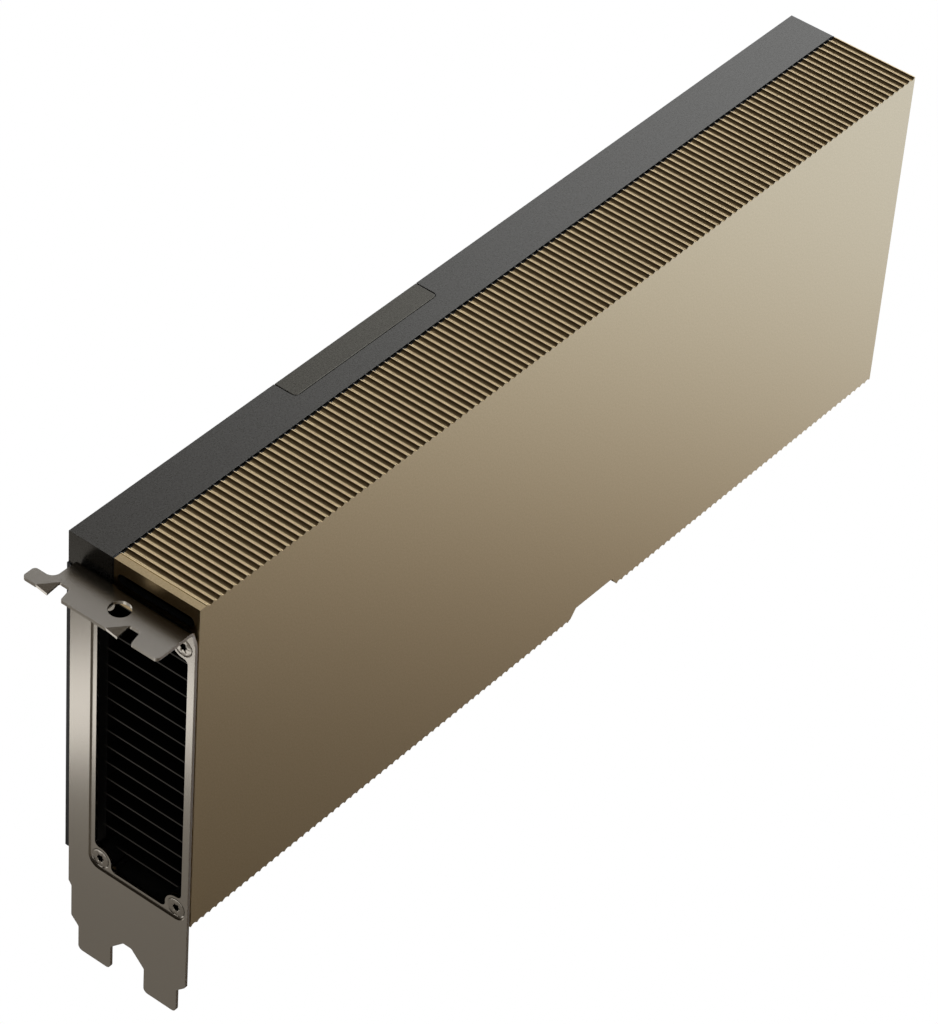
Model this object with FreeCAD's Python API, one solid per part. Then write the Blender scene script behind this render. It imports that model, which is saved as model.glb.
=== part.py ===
import FreeCAD, Part
import math
import os

# Passive accelerator card: a full-length, two-slot expansion card cooled by the air of its server.
# Lengths are in millimetres. +X runs along the card away from its bracket, +Z up from the contact
# edge, +Y from the cooler towards the backplate. The origin is the middle of the key slot in the
# contact edge, at the edge that goes into the slot and half way through the board.

# Overall envelope
CARD_LENGTH = 267.7
CARD_HEIGHT = 111.7
SOLDER_SIDE = 2.67
BOARD_THICKNESS = 1.57
KEY_TO_BRACKET = 59.05
SHROUD_HEIGHT = 96.95

# Contact edge of the board
CONTACT_TAB_HEIGHT = 8.25
KEY_WIDTH = 1.9
KEY_DEPTH = 7.9
SHORT_CONTACTS_LENGTH = 11.65
LONG_CONTACTS_LENGTH = 71.35
CONTACT_PITCH = 1.0
SHORT_CONTACT_COUNT = 11
LONG_CONTACT_COUNT = 71
CONTACT_WIDTH = 0.7
CONTACT_HEIGHT = 5.6
CONTACT_RISE = 0.6
CONTACT_THICKNESS = 0.05
EDGE_BEVEL = 0.4
EDGE_BEVEL_HEIGHT = 1.2
HOOK_GAP = 5.2
HOOK_TOE = 2.9
HOOK_WIDTH = 7.6
HOOK_BOTTOM = 2.6
HOOK_TOE_HEIGHT = 2.6
BOARD_CORNER = 0.8

# Bridge contacts on the top edge, under their cover
BRIDGE_START = 69.3
BRIDGE_LENGTH = 50.0
BRIDGE_DEPTH = 6.3
BRIDGE_CORNER = 1.6
BRIDGE_TONGUE_MARGIN = 3.0
BRIDGE_TONGUE_RISE = 0.8
BRIDGE_CONTACT_COUNT = 20
BRIDGE_CONTACT_PITCH = 2.0
BRIDGE_CONTACT_WIDTH = 1.2
BRIDGE_CONTACT_HEIGHT = 4.2
BRIDGE_CONTACT_INSET = 0.3
COVER_SEAM = 0.25
BRIDGE_SKIRT = 3.0
BRIDGE_CLIP_INSET = 6.0
BRIDGE_CLIP_WIDTH = 8.0
BRIDGE_CLIP_WALL = 1.2
BRIDGE_CLIP_REACH = 6.0
BRIDGE_CLIP_GAP = 0.4

# Sheet-metal bracket
BRACKET_SHEET = 0.86
TONGUE_TIP_DEPTH = 14.33
BRACKET_PAST_BOARD = 0.67
TAB_DROP = 6.01
TAB_LENGTH = 11.43
TAB_CORNER = 1.0
TAB_BEND_INSIDE = 0.6
TAB_FRONT_INSET = 0.8
TAB_BACK_INSET = 1.7
TAB_EAR_LENGTH = 5.4
TAB_EAR_WIDTH = 4.1
TAB_EAR_FILLET = 2.2
TAB_NOTCH_WIDTH = 3.0
TAB_NOTCH_DEPTH = 4.1
TAB_NOTCH_FLARE = 0.9
TAB_NOTCH_INSET = 3.45
TAB_LIP = 3.4
TAB_LIP_ANGLE = 14.0
TAB_HOLE_RADIUS = 2.7
TAB_HOLE_OUT = 5.0
TAB_HOLE_OFFSET = 0.55
TAB_TO_PLATE = 2.6
SLOT_PITCH = 20.32
TONGUE_WIDTH = 9.95
TONGUE_FROM_BOARD = 6.73
TONGUE_LENGTH = 7.4
TONGUE_CORNER = 1.3
PLATE_CORNER = 0.8
SHOULDER_WIDTH = 2.3
FRONT_SHOULDER = 2.62
SHOULDER_BACK_DROP = 9.6
SHOULDER_BACK_STEP = 1.3
BETWEEN_TONGUES_FLAT = 2.5
WINDOW_FRONT = 2.3
WINDOW_BACK_PAST_SCREW = 1.7
WINDOW_PAST_SCREW = 1.95
EMBOSS_DEPTH = 0.44
EMBOSS_RADIUS = 3.2
LOBE_RADIUS = 3.3
LOBE_FILLET = 1.4

# Bracket screws and the posts that they go into
BRACKET_SCREW_INSET = 3.75
BRACKET_SCREW_RISE = 4.47
BRACKET_SCREW_BELOW_TAB = 6.2
SCREW_RADIUS = 1.25
SCREW_HEAD_RADIUS = 2.4
SCREW_HEAD_HEIGHT = 0.8
SCREW_LENGTH = 7.0
SCREW_SEAT_GAP = 0.3
THREAD_GAP = 0.02
THREAD_END = 0.3
POST_RADIUS = 3.2
POST_LENGTH = 9.0
POST_BEFORE_BASE = 1.2
POST_GAP = 0.3
FAR_SCREW_RADIUS = 1.75
FAR_SCREW_INSET = 1.0

# Shroud
FRONT_WALL = 1.5
SHROUD_WALL = 2.0
END_WALL = 2.0
RIBBED_DEPTH = 24.45
END_WALL_PAST_RIBS = 0.65
RIB_COUNT = 123
RIB_LAND = 0.28
FLUTE_DEPTH = 0.55
FLUTE_CHORDS = 4
FLANGE_WALL = 1.3
FLANGE_OVERLAP = 1.5
FLANGE_SCREW_RADIUS = 1.0
FLANGE_SCREW_LENGTH = 5.0
FLANGE_HEAD_RADIUS = 1.9
FLANGE_HEAD_HEIGHT = 0.7
FLANGE_SCREW_INSET = 55.0
END_SLOT_HEIGHT = 3.1
END_SLOT_DROP = 4.95
END_SLOT_INSET = 1.45
LATCH_NOTCH_START = 140.5
LATCH_NOTCH_LENGTH = 18.9
LATCH_NOTCH_HEIGHT = 2.95
LATCH_NOTCH_SLOPE = 2.3
INTAKE_RIM = 3.0

# Cover strip over the board's top edge
COVER_WALL = 1.2
COVER_GAP = 0.15
COVER_ABOVE_POSTS = 0.06
COVER_BACK_INSET = 0.2
COVER_END_DROP = 1.5

# Backplate side
BACKPLATE_WALL = 1.2
BACKPLATE_LOW = 0.5
BACKPLATE_CHAMFER = 1.5
BACKPLATE_FROM_BRACKET = 0.15
SHEET_THICKNESS = 0.25
DIMPLE_RADIUS = 3.2
DIMPLE_GAP = 0.3
SHEET_INSET = 1.5
SPRING_THICKNESS = 0.8
SPRING_ARM = 9.0
SPRING_PAST_SCREW = 4.5
SPRING_HOLE = 5.0

# Small screws of the backplate and of the spring
SMALL_SCREW_RADIUS = 1.0
SMALL_SCREW_GAP = 0.3
BACK_HEAD_RADIUS = 2.0
BACK_HEAD_HEIGHT = 0.9
BACK_HEAD_SINK = 0.1
BACK_SCREW_LENGTH = 7.6
BACK_SCREW_FROM_END = 9.0
BACK_SCREW_RISE = 5.0
BACK_SCREW_DROP = 7.0
BACK_SCREW_BEFORE_COLUMN = 23.2
BACK_SCREW_PAST_STAGES = 9.5
HOLD_DOWN_HEAD_RADIUS = 2.4
HOLD_DOWN_HEAD_HEIGHT = 0.38
HOLD_DOWN_LENGTH = 7.0

# Heatsink
BASE_THICKNESS = 3.5
BASE_GAP = 0.1
FIN_FIRST = 7.13
FIN_LAST_DROP = 5.245
FIN_COUNT = 18
FIN_THICKNESS = 0.4
FIN_GROOVE = 0.8
FIN_TIP_GAP = 0.3
FIN_END_GAP = 0.3
FIN_FAR_INSET = 5.0
STANDOFF_RADIUS = 2.8
STANDOFF_FROM_SUBSTRATE = 1.7

# Processor package
PROCESSOR_X = 135.0
PROCESSOR_ABOVE_MIDDLE = 0.525
SUBSTRATE_SIZE = 55.0
SUBSTRATE_THICKNESS = 1.3
DIE_WIDTH = 26.0
DIE_HEIGHT = 32.0
DIE_THICKNESS = 0.9
PASTE_THICKNESS = 0.15
MEMORY_WIDTH = 7.8
MEMORY_HEIGHT = 10.0
MEMORY_GAP = 1.0
STIFFENER_WIDTH = 3.0
STIFFENER_THICKNESS = 0.6
CERAMIC_LENGTH = 1.6
CERAMIC_WIDTH = 0.8
CERAMIC_COUNT = 10
CERAMIC_FROM_SUBSTRATE = 2.5

# Voltage regulator parts
INDUCTOR_SIZE = 7.0
INDUCTOR_HEIGHT = 4.0
INDUCTOR_PITCH = 10.0
INDUCTOR_COUNT = 7
INDUCTOR_PAD = 0.45
INDUCTORS_BEFORE_SUBSTRATE = 21.0
INDUCTORS_PAST_SUBSTRATE = 24.0
STAGE_WIDTH = 5.0
STAGE_LENGTH = 6.0
STAGE_HEIGHT = 0.9
STAGE_GAP = 2.0
CAPACITOR_LENGTH = 7.3
CAPACITOR_WIDTH = 4.3
CAPACITOR_HEIGHT = 1.9
CAPACITOR_GAP = 1.0
POCKET_MARGIN = 1.0
CHIP_SIZE = 7.0
CHIP_HEIGHT = 0.9
CHIP_FROM_COLUMN = 19.5
CHIP_SPREAD = 22.0
CHIP_FROM_POWER = 14.0

# Power connector at the far end
POWER_LENGTH = 12.7
POWER_WIDTH = 20.6
POWER_HEIGHT = 9.8
POWER_PITCH = 4.2
POWER_CAVITY = 3.5
POWER_CAVITY_DEPTH = 9.2
POWER_PIN = 1.1
POWER_PIN_INSET = 2.0
POWER_TAIL_OUT = 3.6
POWER_TAIL_STEP = 2.2
POWER_CATCH_HEIGHT = 1.4
POWER_CATCH_WIDTH = 5.0
POWER_CATCH_START = 6.0
POWER_CATCH_END = 1.5
POWER_BELOW_TOP = 30.45
POWER_CLEARANCE = 1.6
POWER_INSET = 0.3

# Places that follow from the sizes above
X_FACE = -KEY_TO_BRACKET
X_END = X_FACE + CARD_LENGTH
X_BODY = X_FACE + BRACKET_SHEET + EMBOSS_DEPTH
Y_BOARD_FRONT = -BOARD_THICKNESS / 2
Y_BOARD_BACK = BOARD_THICKNESS / 2
Y_FRONT = -TONGUE_FROM_BOARD - SLOT_PITCH - TONGUE_WIDTH / 2 - FRONT_SHOULDER
Y_BACK = Y_BOARD_BACK + SOLDER_SIDE
Z_TOP = CARD_HEIGHT
Z_LOW = Z_TOP - SHROUD_HEIGHT
Z_TAB = Z_TOP - TAB_DROP
Y_SUBSTRATE = Y_BOARD_FRONT - SUBSTRATE_THICKNESS
Y_DIE = Y_SUBSTRATE - DIE_THICKNESS
Y_BASE_BACK = Y_DIE - PASTE_THICKNESS
Y_BASE_FRONT = Y_BASE_BACK - BASE_THICKNESS
X_BASE_NEAR = X_BODY + END_WALL + FIN_END_GAP
X_BASE_FAR = X_END - FIN_FAR_INSET
Z_FLANGE_LOW = Z_LOW + SHROUD_WALL
Z_FLANGE_TOP = Z_TOP - SHROUD_WALL
Z_BASE_LOW = Z_FLANGE_LOW + FLANGE_WALL + BASE_GAP
Z_BASE_TOP = Z_FLANGE_TOP - FLANGE_WALL - BASE_GAP
Y_SCREW_FRONT = Y_FRONT + BRACKET_SCREW_INSET
Y_SCREW_BACK = Y_BASE_FRONT - POST_BEFORE_BASE
Z_SCREW_LOW = Z_LOW + BRACKET_SCREW_RISE
Z_SCREW_HIGH = Z_TAB - BRACKET_SCREW_BELOW_TAB
X_COVER_NEAR = X_BODY
X_BOARD_NEAR = X_COVER_NEAR + COVER_WALL + 2 * COVER_GAP
X_BOARD_FAR = X_END - COVER_WALL - 2 * COVER_GAP
Y_END_WALL = Y_FRONT + RIBBED_DEPTH + END_WALL_PAST_RIBS
Y_COVER_FRONT = Y_END_WALL + COVER_GAP
Z_COVER_UNDER = Z_TOP - COVER_WALL
Z_TONGUE_TOP = Z_COVER_UNDER - 2 * COVER_GAP
Z_BOARD_TOP = Z_TONGUE_TOP - BRIDGE_TONGUE_RISE
X_BRIDGE = X_FACE + BRIDGE_START
X_PROCESSOR = X_FACE + PROCESSOR_X
Z_PROCESSOR = (Z_LOW + Z_TOP) / 2 + PROCESSOR_ABOVE_MIDDLE
Y_PLATE_IN = Y_BACK - BACKPLATE_WALL
Z_PLATE_LOW = Z_LOW - BACKPLATE_LOW
Z_COVER_LEG = Z_SCREW_HIGH + POST_RADIUS + COVER_ABOVE_POSTS
Z_PLATE_TOP = Z_COVER_LEG - COVER_GAP
X_PLATE_NEAR = X_FACE + BRACKET_SHEET + BACKPLATE_FROM_BRACKET
Z_POWER = Z_TOP - POWER_BELOW_TOP
SHORT_START = -KEY_WIDTH / 2 - SHORT_CONTACTS_LENGTH
LONG_END = KEY_WIDTH / 2 + LONG_CONTACTS_LENGTH


def vec(x, y, z):
    return FreeCAD.Vector(x, y, z)


def block(x0, x1, y0, y1, z0, z1):
    return Part.makeBox(x1 - x0, y1 - y0, z1 - z0, vec(x0, y0, z0))


def rod_x(x0, x1, y, z, radius):
    return Part.makeCylinder(radius, x1 - x0, vec(x0, y, z), vec(1, 0, 0))


def rod_y(x, y0, y1, z, radius):
    return Part.makeCylinder(radius, y1 - y0, vec(x, y0, z), vec(0, 1, 0))


def plate_xz(points, y0, y1):
    # A flat sheet whose outline lies in the plane of the board.
    outline = Part.makePolygon([vec(x, y0, z) for x, z in points + points[:1]])
    return Part.Face(outline).extrude(vec(0, y1 - y0, 0))


def plate_yz(points, x0, x1):
    # A flat sheet whose outline lies in the plane of the bracket.
    outline = Part.makePolygon([vec(x0, y, z) for y, z in points + points[:1]])
    return Part.Face(outline).extrude(vec(x1 - x0, 0, 0))


def round_edges(solid, radius, places, axis):
    # Rounds the straight edges along one axis that pass through the given places.
    chosen = []
    for edge in solid.Edges:
        start = edge.Vertexes[0].Point
        finish = edge.Vertexes[-1].Point
        if start.isEqual(finish, 1e-6) or not isinstance(edge.Curve, Part.Line):
            continue
        along = finish.sub(start).normalize()
        if abs(abs(along.dot(axis)) - 1) > 1e-6:
            continue
        for place in places:
            offset = place.sub(start)
            if offset.sub(axis * offset.dot(axis)).Length < 1e-4:
                chosen.append(edge)
    return solid.makeFillet(radius, chosen)


def save(name, solids):
    shape = solids[0] if len(solids) == 1 else Part.makeCompound(solids)
    shape.exportStep("parts/" + name + ".step")


# Bracket screw places, as (y, z), front column first; the inset brings the two rows closer together

def bracket_screw_places(inset=0.0):
    rows = [Z_SCREW_LOW + inset, Z_SCREW_HIGH - inset]
    front = [(Y_SCREW_FRONT, z) for z in rows]
    back = [(Y_SCREW_BACK, z) for z in rows]
    return front, back


# Backplate screw places, as (x, z), clear of the processor and of the regulator parts

def backplate_screw_places():
    xs = [X_BASE_NEAR + BACK_SCREW_FROM_END, inductor_columns()[0] - BACK_SCREW_BEFORE_COLUMN,
          inductor_columns()[1] + stage_offset() + BACK_SCREW_PAST_STAGES, X_BASE_FAR - BACK_SCREW_FROM_END]
    zs = [Z_BASE_LOW + BACK_SCREW_RISE, Z_PLATE_TOP - BACK_SCREW_DROP]
    return [(x, z) for x in xs for z in zs]


def hold_down_reach():
    # From the middle of the processor to a hold-down screw, along either side.
    return SUBSTRATE_SIZE / 2 + STANDOFF_FROM_SUBSTRATE + STANDOFF_RADIUS


def hold_down_places():
    reach = hold_down_reach()
    return [(X_PROCESSOR + i * reach, Z_PROCESSOR + j * reach) for i in (-1, 1) for j in (-1, 1)]


# Sheet-metal bracket

def bracket_plate_outline():
    y_back = Y_BOARD_BACK + BRACKET_PAST_BOARD
    z_tip = -TONGUE_TIP_DEPTH
    z_neck = z_tip + TONGUE_LENGTH
    back_tongue = -TONGUE_FROM_BOARD
    front_tongue = back_tongue - SLOT_PITCH
    half = TONGUE_WIDTH / 2
    rise = (SLOT_PITCH - TONGUE_WIDTH - BETWEEN_TONGUES_FLAT) / 2
    back_slope = SHOULDER_WIDTH
    z_bend = Z_TAB - BRACKET_SHEET - TAB_BEND_INSIDE
    return [
        (Y_FRONT, z_bend - TAB_TO_PLATE),
        (Y_FRONT, z_neck + FRONT_SHOULDER),
        (front_tongue - half, z_neck),
        (front_tongue - half, z_tip),
        (front_tongue + half, z_tip),
        (front_tongue + half, z_neck),
        (front_tongue + half + rise, z_neck + rise),
        (back_tongue - half - rise, z_neck + rise),
        (back_tongue - half, z_neck),
        (back_tongue - half, z_tip),
        (back_tongue + half, z_tip),
        (back_tongue + half, z_neck),
        (back_tongue + half + back_slope, z_neck + back_slope),
        (back_tongue + half + back_slope, z_neck + back_slope + SHOULDER_BACK_DROP),
        (y_back, z_neck + back_slope + SHOULDER_BACK_DROP + SHOULDER_BACK_STEP),
        (y_back, z_bend - TAB_TO_PLATE),
        (y_back - TAB_BACK_INSET, z_bend),
        (Y_FRONT + TAB_FRONT_INSET, z_bend),
    ]


def bracket_plate():
    points = bracket_plate_outline()
    plate = plate_yz(points, X_FACE, X_FACE + BRACKET_SHEET)
    tips = [vec(X_FACE, points[i][0], points[i][1]) for i in (3, 4, 9, 10)]
    plate = round_edges(plate, TONGUE_CORNER, tips, vec(1, 0, 0))
    soft = [vec(X_FACE, points[i][0], points[i][1]) for i in (1, 2, 5, 6, 7, 8, 11, 12)]
    return round_edges(plate, PLATE_CORNER, soft, vec(1, 0, 0))


def emboss_outline(radius, x0, x1):
    # Rounded rectangle around the four bracket screws, at one distance from them.
    rect = block(x0, x1, Y_SCREW_FRONT - radius, Y_SCREW_BACK + radius,
                 Z_SCREW_LOW - radius, Z_SCREW_HIGH + radius)
    corners = [vec(x0, y, z) for y in (Y_SCREW_FRONT - radius, Y_SCREW_BACK + radius)
               for z in (Z_SCREW_LOW - radius, Z_SCREW_HIGH + radius)]
    return round_edges(rect, radius - 0.01, corners, vec(1, 0, 0))


def bracket_window(x0, x1):
    # The air window: straight sides, and a lobe left standing round each screw.
    y0 = Y_FRONT + WINDOW_FRONT
    y1 = Y_SCREW_BACK + WINDOW_BACK_PAST_SCREW
    z0 = Z_SCREW_LOW - WINDOW_PAST_SCREW
    z1 = Z_SCREW_HIGH + WINDOW_PAST_SCREW
    window = block(x0, x1, y0, y1, z0, z1)
    for y, z in sum(bracket_screw_places(), []):
        window = window.cut(rod_x(x0 - 1, x1 + 1, y, z, LOBE_RADIUS))
    corners = []
    for edge in window.Edges:
        start = edge.Vertexes[0].Point
        finish = edge.Vertexes[-1].Point
        if abs(start.y - finish.y) < 1e-6 and abs(start.z - finish.z) < 1e-6:
            corners.append(edge)
    return window.makeFillet(LOBE_FILLET, corners)


def tab_outline():
    # Seen from above, as (distance out from the bracket's face, y).
    y_front = Y_FRONT + TAB_FRONT_INSET
    y_back = Y_BOARD_BACK + BRACKET_PAST_BOARD - TAB_BACK_INSET
    out = TAB_LENGTH
    notch_in = out - TAB_NOTCH_DEPTH
    second = y_back - TAB_NOTCH_INSET
    first = second - SLOT_PITCH
    half = TAB_NOTCH_WIDTH / 2
    flare = half + TAB_NOTCH_FLARE
    return [
        (-BRACKET_SHEET, y_front), (out, y_front),
        (out, first - flare), (notch_in, first - half), (notch_in, first + half), (out, first + half),
        (out, second - flare), (notch_in, second - half), (notch_in, second + half), (out, second + half),
        (out, y_back + TAB_EAR_LENGTH), (out - TAB_EAR_WIDTH, y_back + TAB_EAR_LENGTH),
        (out - TAB_EAR_WIDTH, y_back), (-BRACKET_SHEET, y_back),
    ]


def tab_flat():
    # The tab before bending: an outline with rounded corners and the round fixing hole.
    z1 = Z_TAB
    z0 = Z_TAB - BRACKET_SHEET
    points = tab_outline()
    outline = Part.makePolygon([vec(X_FACE - out, y, z0) for out, y in points + points[:1]])
    tab = Part.Face(outline).extrude(vec(0, 0, z1 - z0))
    up = vec(0, 0, 1)
    place = [vec(X_FACE - out, y, z0) for out, y in points]
    tab = round_edges(tab, TAB_CORNER, [place[i] for i in (1, 10, 11)], up)
    tab = round_edges(tab, TAB_CORNER / 2, [place[i] for i in (2, 3, 4, 6, 7, 8)], up)
    tab = round_edges(tab, TAB_EAR_FILLET, [place[12]], up)
    y_hole = tab_hole_y()
    hole = Part.makeCylinder(TAB_HOLE_RADIUS, 3, vec(X_FACE - TAB_HOLE_OUT, y_hole, z0 - 1), up)
    return tab.cut(hole)


def tab_hole_y():
    return -TONGUE_FROM_BOARD - SLOT_PITCH / 2 - TAB_HOLE_OFFSET


def with_lip(tab, corner_y):
    # The corner beside a notch is pressed down along a slanting crease.
    z0 = Z_TAB - BRACKET_SHEET
    out = X_FACE - TAB_LENGTH
    inner = vec(out + TAB_NOTCH_DEPTH, corner_y, z0)
    outer = vec(out, corner_y + TAB_LIP, z0)
    corner = [inner, outer, vec(out - 1, corner_y + TAB_LIP, z0), vec(out - 1, corner_y - 0.4, z0),
              vec(inner.x, corner_y - 0.4, z0)]
    region = Part.Face(Part.makePolygon(corner + corner[:1])).extrude(vec(0, 0, BRACKET_SHEET))
    lip = tab.common(region)
    rest = tab.cut(region)
    lip.rotate(inner + vec(0, 0, BRACKET_SHEET), outer.sub(inner), -TAB_LIP_ANGLE)
    return rest.fuse(lip)


def bend():
    # A quarter of a tube that joins the tab to the plate.
    y0 = Y_FRONT + TAB_FRONT_INSET
    y1 = Y_BOARD_BACK + BRACKET_PAST_BOARD - TAB_BACK_INSET
    outside = TAB_BEND_INSIDE + BRACKET_SHEET
    centre_x = X_FACE - TAB_BEND_INSIDE
    centre_z = Z_TAB - outside
    tube = rod_y(centre_x, y0, y1, centre_z, outside)
    tube = tube.cut(rod_y(centre_x, y0, y1, centre_z, TAB_BEND_INSIDE))
    return tube.common(block(centre_x, centre_x + outside, y0, y1, centre_z, Z_TAB))


def io_bracket():
    plate = bracket_plate()
    back = X_FACE + BRACKET_SHEET
    plate = plate.fuse(emboss_outline(EMBOSS_RADIUS, back, back + EMBOSS_DEPTH))
    plate = plate.cut(emboss_outline(EMBOSS_RADIUS, X_FACE - 1, X_FACE + EMBOSS_DEPTH))
    plate = plate.cut(bracket_window(X_FACE - 1, X_BODY + 1))
    floor = X_FACE + EMBOSS_DEPTH
    seat = SCREW_HEAD_RADIUS + SCREW_SEAT_GAP
    for y, z in sum(bracket_screw_places(), []):
        sink = Part.makeCone(seat, SCREW_RADIUS + SCREW_SEAT_GAP, SCREW_HEAD_HEIGHT,
                             vec(floor, y, z), vec(1, 0, 0))
        plate = plate.cut(sink).cut(rod_x(floor, X_BODY + 1, y, z, SCREW_RADIUS + SCREW_SEAT_GAP))
    flat = tab_flat()
    flat = flat.cut(block(X_FACE - TAB_BEND_INSIDE, X_FACE + 2, Y_FRONT - 1, Y_BACK + 1,
                          Z_TAB - 2, Z_TAB + 1))
    second = Y_BOARD_BACK + BRACKET_PAST_BOARD - TAB_BACK_INSET - TAB_NOTCH_INSET
    for centre in (second, second - SLOT_PITCH):
        flat = with_lip(flat, centre + TAB_NOTCH_WIDTH / 2)
    return plate.fuse(bend()).fuse(flat).removeSplitter()


def countersunk_screw(head_centre, direction, radius, head_radius, head_height, length):
    head = Part.makeCone(head_radius, radius, head_height, head_centre, direction)
    shank = Part.makeCylinder(radius, length, head_centre, direction)
    return head.fuse(shank).removeSplitter()


def bracket_screws():
    places = sum(bracket_screw_places(), [])
    return [countersunk_screw(vec(X_FACE + EMBOSS_DEPTH, y, z), vec(1, 0, 0), SCREW_RADIUS,
                              SCREW_HEAD_RADIUS, SCREW_HEAD_HEIGHT, SCREW_LENGTH) for y, z in places]


# Shroud

def flute_points(x, z, side, pitch):
    # One land and the concave arc after it, whose ends lie on the land's level. The arc is drawn
    # with a few chords, because the shroud has so many of them.
    width = pitch - RIB_LAND
    radius = (width ** 2 / 4 + FLUTE_DEPTH ** 2) / (2 * FLUTE_DEPTH)
    sweep = 2 * math.asin(width / 2 / radius)
    middle = x + side * (RIB_LAND + width / 2)
    centre = z + side * (radius - FLUTE_DEPTH)
    points = [(x, z)]
    for k in range(FLUTE_CHORDS + 1):
        turn = sweep * (k / FLUTE_CHORDS - 0.5)
        points.append((middle + side * radius * math.sin(turn), centre - side * radius * math.cos(turn)))
    return points


def fluted_outline():
    # Side view of the shroud, once round: along the top away from the bracket, back along the bottom.
    pitch = (CARD_LENGTH - (X_BODY - X_FACE) - RIB_LAND) / RIB_COUNT
    points = []
    for side, x, z in ((1, X_BODY, Z_TOP), (-1, X_END, Z_LOW)):
        for k in range(RIB_COUNT):
            points += flute_points(x + side * pitch * k, z, side, pitch)
        points.append((x + side * (pitch * RIB_COUNT + RIB_LAND), z))
    return points


def end_wall(x0, x1):
    return block(x0, x1, Y_FRONT, Y_END_WALL, Z_SCREW_HIGH, Z_TOP)


def end_slot():
    y0 = Y_FRONT + END_SLOT_INSET
    y1 = Y_END_WALL - END_SLOT_INSET
    z1 = Z_TOP - END_SLOT_DROP + END_SLOT_HEIGHT / 2
    z0 = z1 - END_SLOT_HEIGHT
    slot = block(X_BODY - 1, X_BODY + END_WALL + 1, y0, y1, z0, z1)
    corners = [vec(X_BODY, y, z) for y in (y0, y1) for z in (z0, z1)]
    return round_edges(slot, END_SLOT_HEIGHT / 2 - 0.05, corners, vec(1, 0, 0))


def latch_notch(extra):
    # Opening in the lower edge above the latch of the slot.
    x0 = X_FACE + LATCH_NOTCH_START - extra
    x1 = x0 + LATCH_NOTCH_LENGTH + 2 * extra
    z1 = Z_LOW + LATCH_NOTCH_HEIGHT + extra
    points = [(x0, Z_LOW - 1), (x0, Z_LOW), (x0 + LATCH_NOTCH_SLOPE, z1), (x1 - LATCH_NOTCH_SLOPE, z1),
              (x1, Z_LOW), (x1, Z_LOW - 1)]
    return plate_xz(points, Y_FRONT - 1, Y_BOARD_FRONT)


def flange_screw_places():
    xs = [X_BASE_NEAR + FLANGE_SCREW_INSET, X_BASE_FAR - FLANGE_SCREW_INSET]
    return xs, (Y_BASE_FRONT + FIN_GROOVE + Y_BASE_BACK) / 2


def post_and_hole(x0, y, z, screw_radius):
    # A round post for one screw, threaded right through.
    post = rod_x(x0, x0 + POST_LENGTH, y, z, POST_RADIUS)
    hole = rod_x(x0 - 1, x0 + POST_LENGTH + 1, y, z, screw_radius + THREAD_GAP)
    return post, hole


def post_ends():
    # Posts for the bracket's screws, and at the far end for a card retainer's larger ones.
    return [(X_BODY, bracket_screw_places(), SCREW_RADIUS),
            (X_END - POST_LENGTH, bracket_screw_places(FAR_SCREW_INSET), FAR_SCREW_RADIUS)]


def shroud_flanges():
    # Two lips, one wall lower than the ribs, that lie over the edges of the heatsink base.
    y0 = Y_FRONT + RIBBED_DEPTH - FLANGE_OVERLAP
    top = block(X_BOARD_NEAR, X_BOARD_FAR, y0, Y_BASE_BACK, Z_FLANGE_TOP - FLANGE_WALL, Z_FLANGE_TOP)
    bottom = block(X_BODY, X_END, y0, Y_BASE_BACK, Z_FLANGE_LOW, Z_FLANGE_LOW + FLANGE_WALL)
    return [top, bottom]


def shroud():
    body = plate_xz(fluted_outline(), Y_FRONT, Y_FRONT + RIBBED_DEPTH)
    body = body.cut(block(X_BODY - 1, X_END + 1, Y_FRONT + FRONT_WALL, Y_BACK, Z_FLANGE_LOW, Z_FLANGE_TOP))
    for flange in shroud_flanges():
        body = body.fuse(flange)
    body = body.fuse(end_wall(X_BODY, X_BODY + END_WALL)).cut(end_slot())
    body = body.fuse(far_wall())
    inside = block(X_BODY, X_END, Y_FRONT, Y_BACK, Z_FLANGE_LOW - 1, Z_FLANGE_TOP)
    holes = []
    for x0, (front, back), screw_radius in post_ends():
        for y, z in front:
            post, hole = post_and_hole(x0, y, z, screw_radius)
            body = body.fuse(post.common(inside))
            holes.append(hole)
        for y, z in back:
            holes.append(rod_x(x0 - POST_GAP, x0 + POST_LENGTH + POST_GAP, y, z, POST_RADIUS + POST_GAP))
    body = body.cut(Part.makeCompound(holes))
    body = body.cut(latch_notch(0))
    return body.cut(Part.makeCompound(flange_holes()))


def far_wall():
    x0 = X_END - END_WALL
    wall = block(x0, X_END, Y_FRONT, Y_END_WALL, Z_LOW + FLUTE_DEPTH, Z_TOP - FLUTE_DEPTH)
    opening = block(x0 - 1, X_END + 1, Y_FRONT + INTAKE_RIM, Y_BACK,
                    Z_LOW + INTAKE_RIM, Z_TOP - INTAKE_RIM)
    return wall.cut(opening)


def flange_holes():
    xs, y = flange_screw_places()
    radius = FLANGE_SCREW_RADIUS + SCREW_SEAT_GAP
    depth = FLANGE_WALL + 2
    starts = (Z_FLANGE_LOW - 1, Z_FLANGE_TOP - FLANGE_WALL - 1)
    return [Part.makeCylinder(radius, depth, vec(x, y, z)) for x in xs for z in starts]


def shroud_screws():
    # Pan-head screws that hold the shroud's two flanges to the edges of the heatsink base.
    xs, y = flange_screw_places()
    screws = []
    for x in xs:
        for z, side in ((Z_FLANGE_TOP, 1), (Z_FLANGE_LOW, -1)):
            away = vec(0, 0, side)
            head = Part.makeCylinder(FLANGE_HEAD_RADIUS, FLANGE_HEAD_HEIGHT, vec(x, y, z), away)
            shank = Part.makeCylinder(FLANGE_SCREW_RADIUS, FLANGE_SCREW_LENGTH, vec(x, y, z), away * -1)
            screws.append(head.fuse(shank).removeSplitter())
    return screws


# Heatsink

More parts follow.
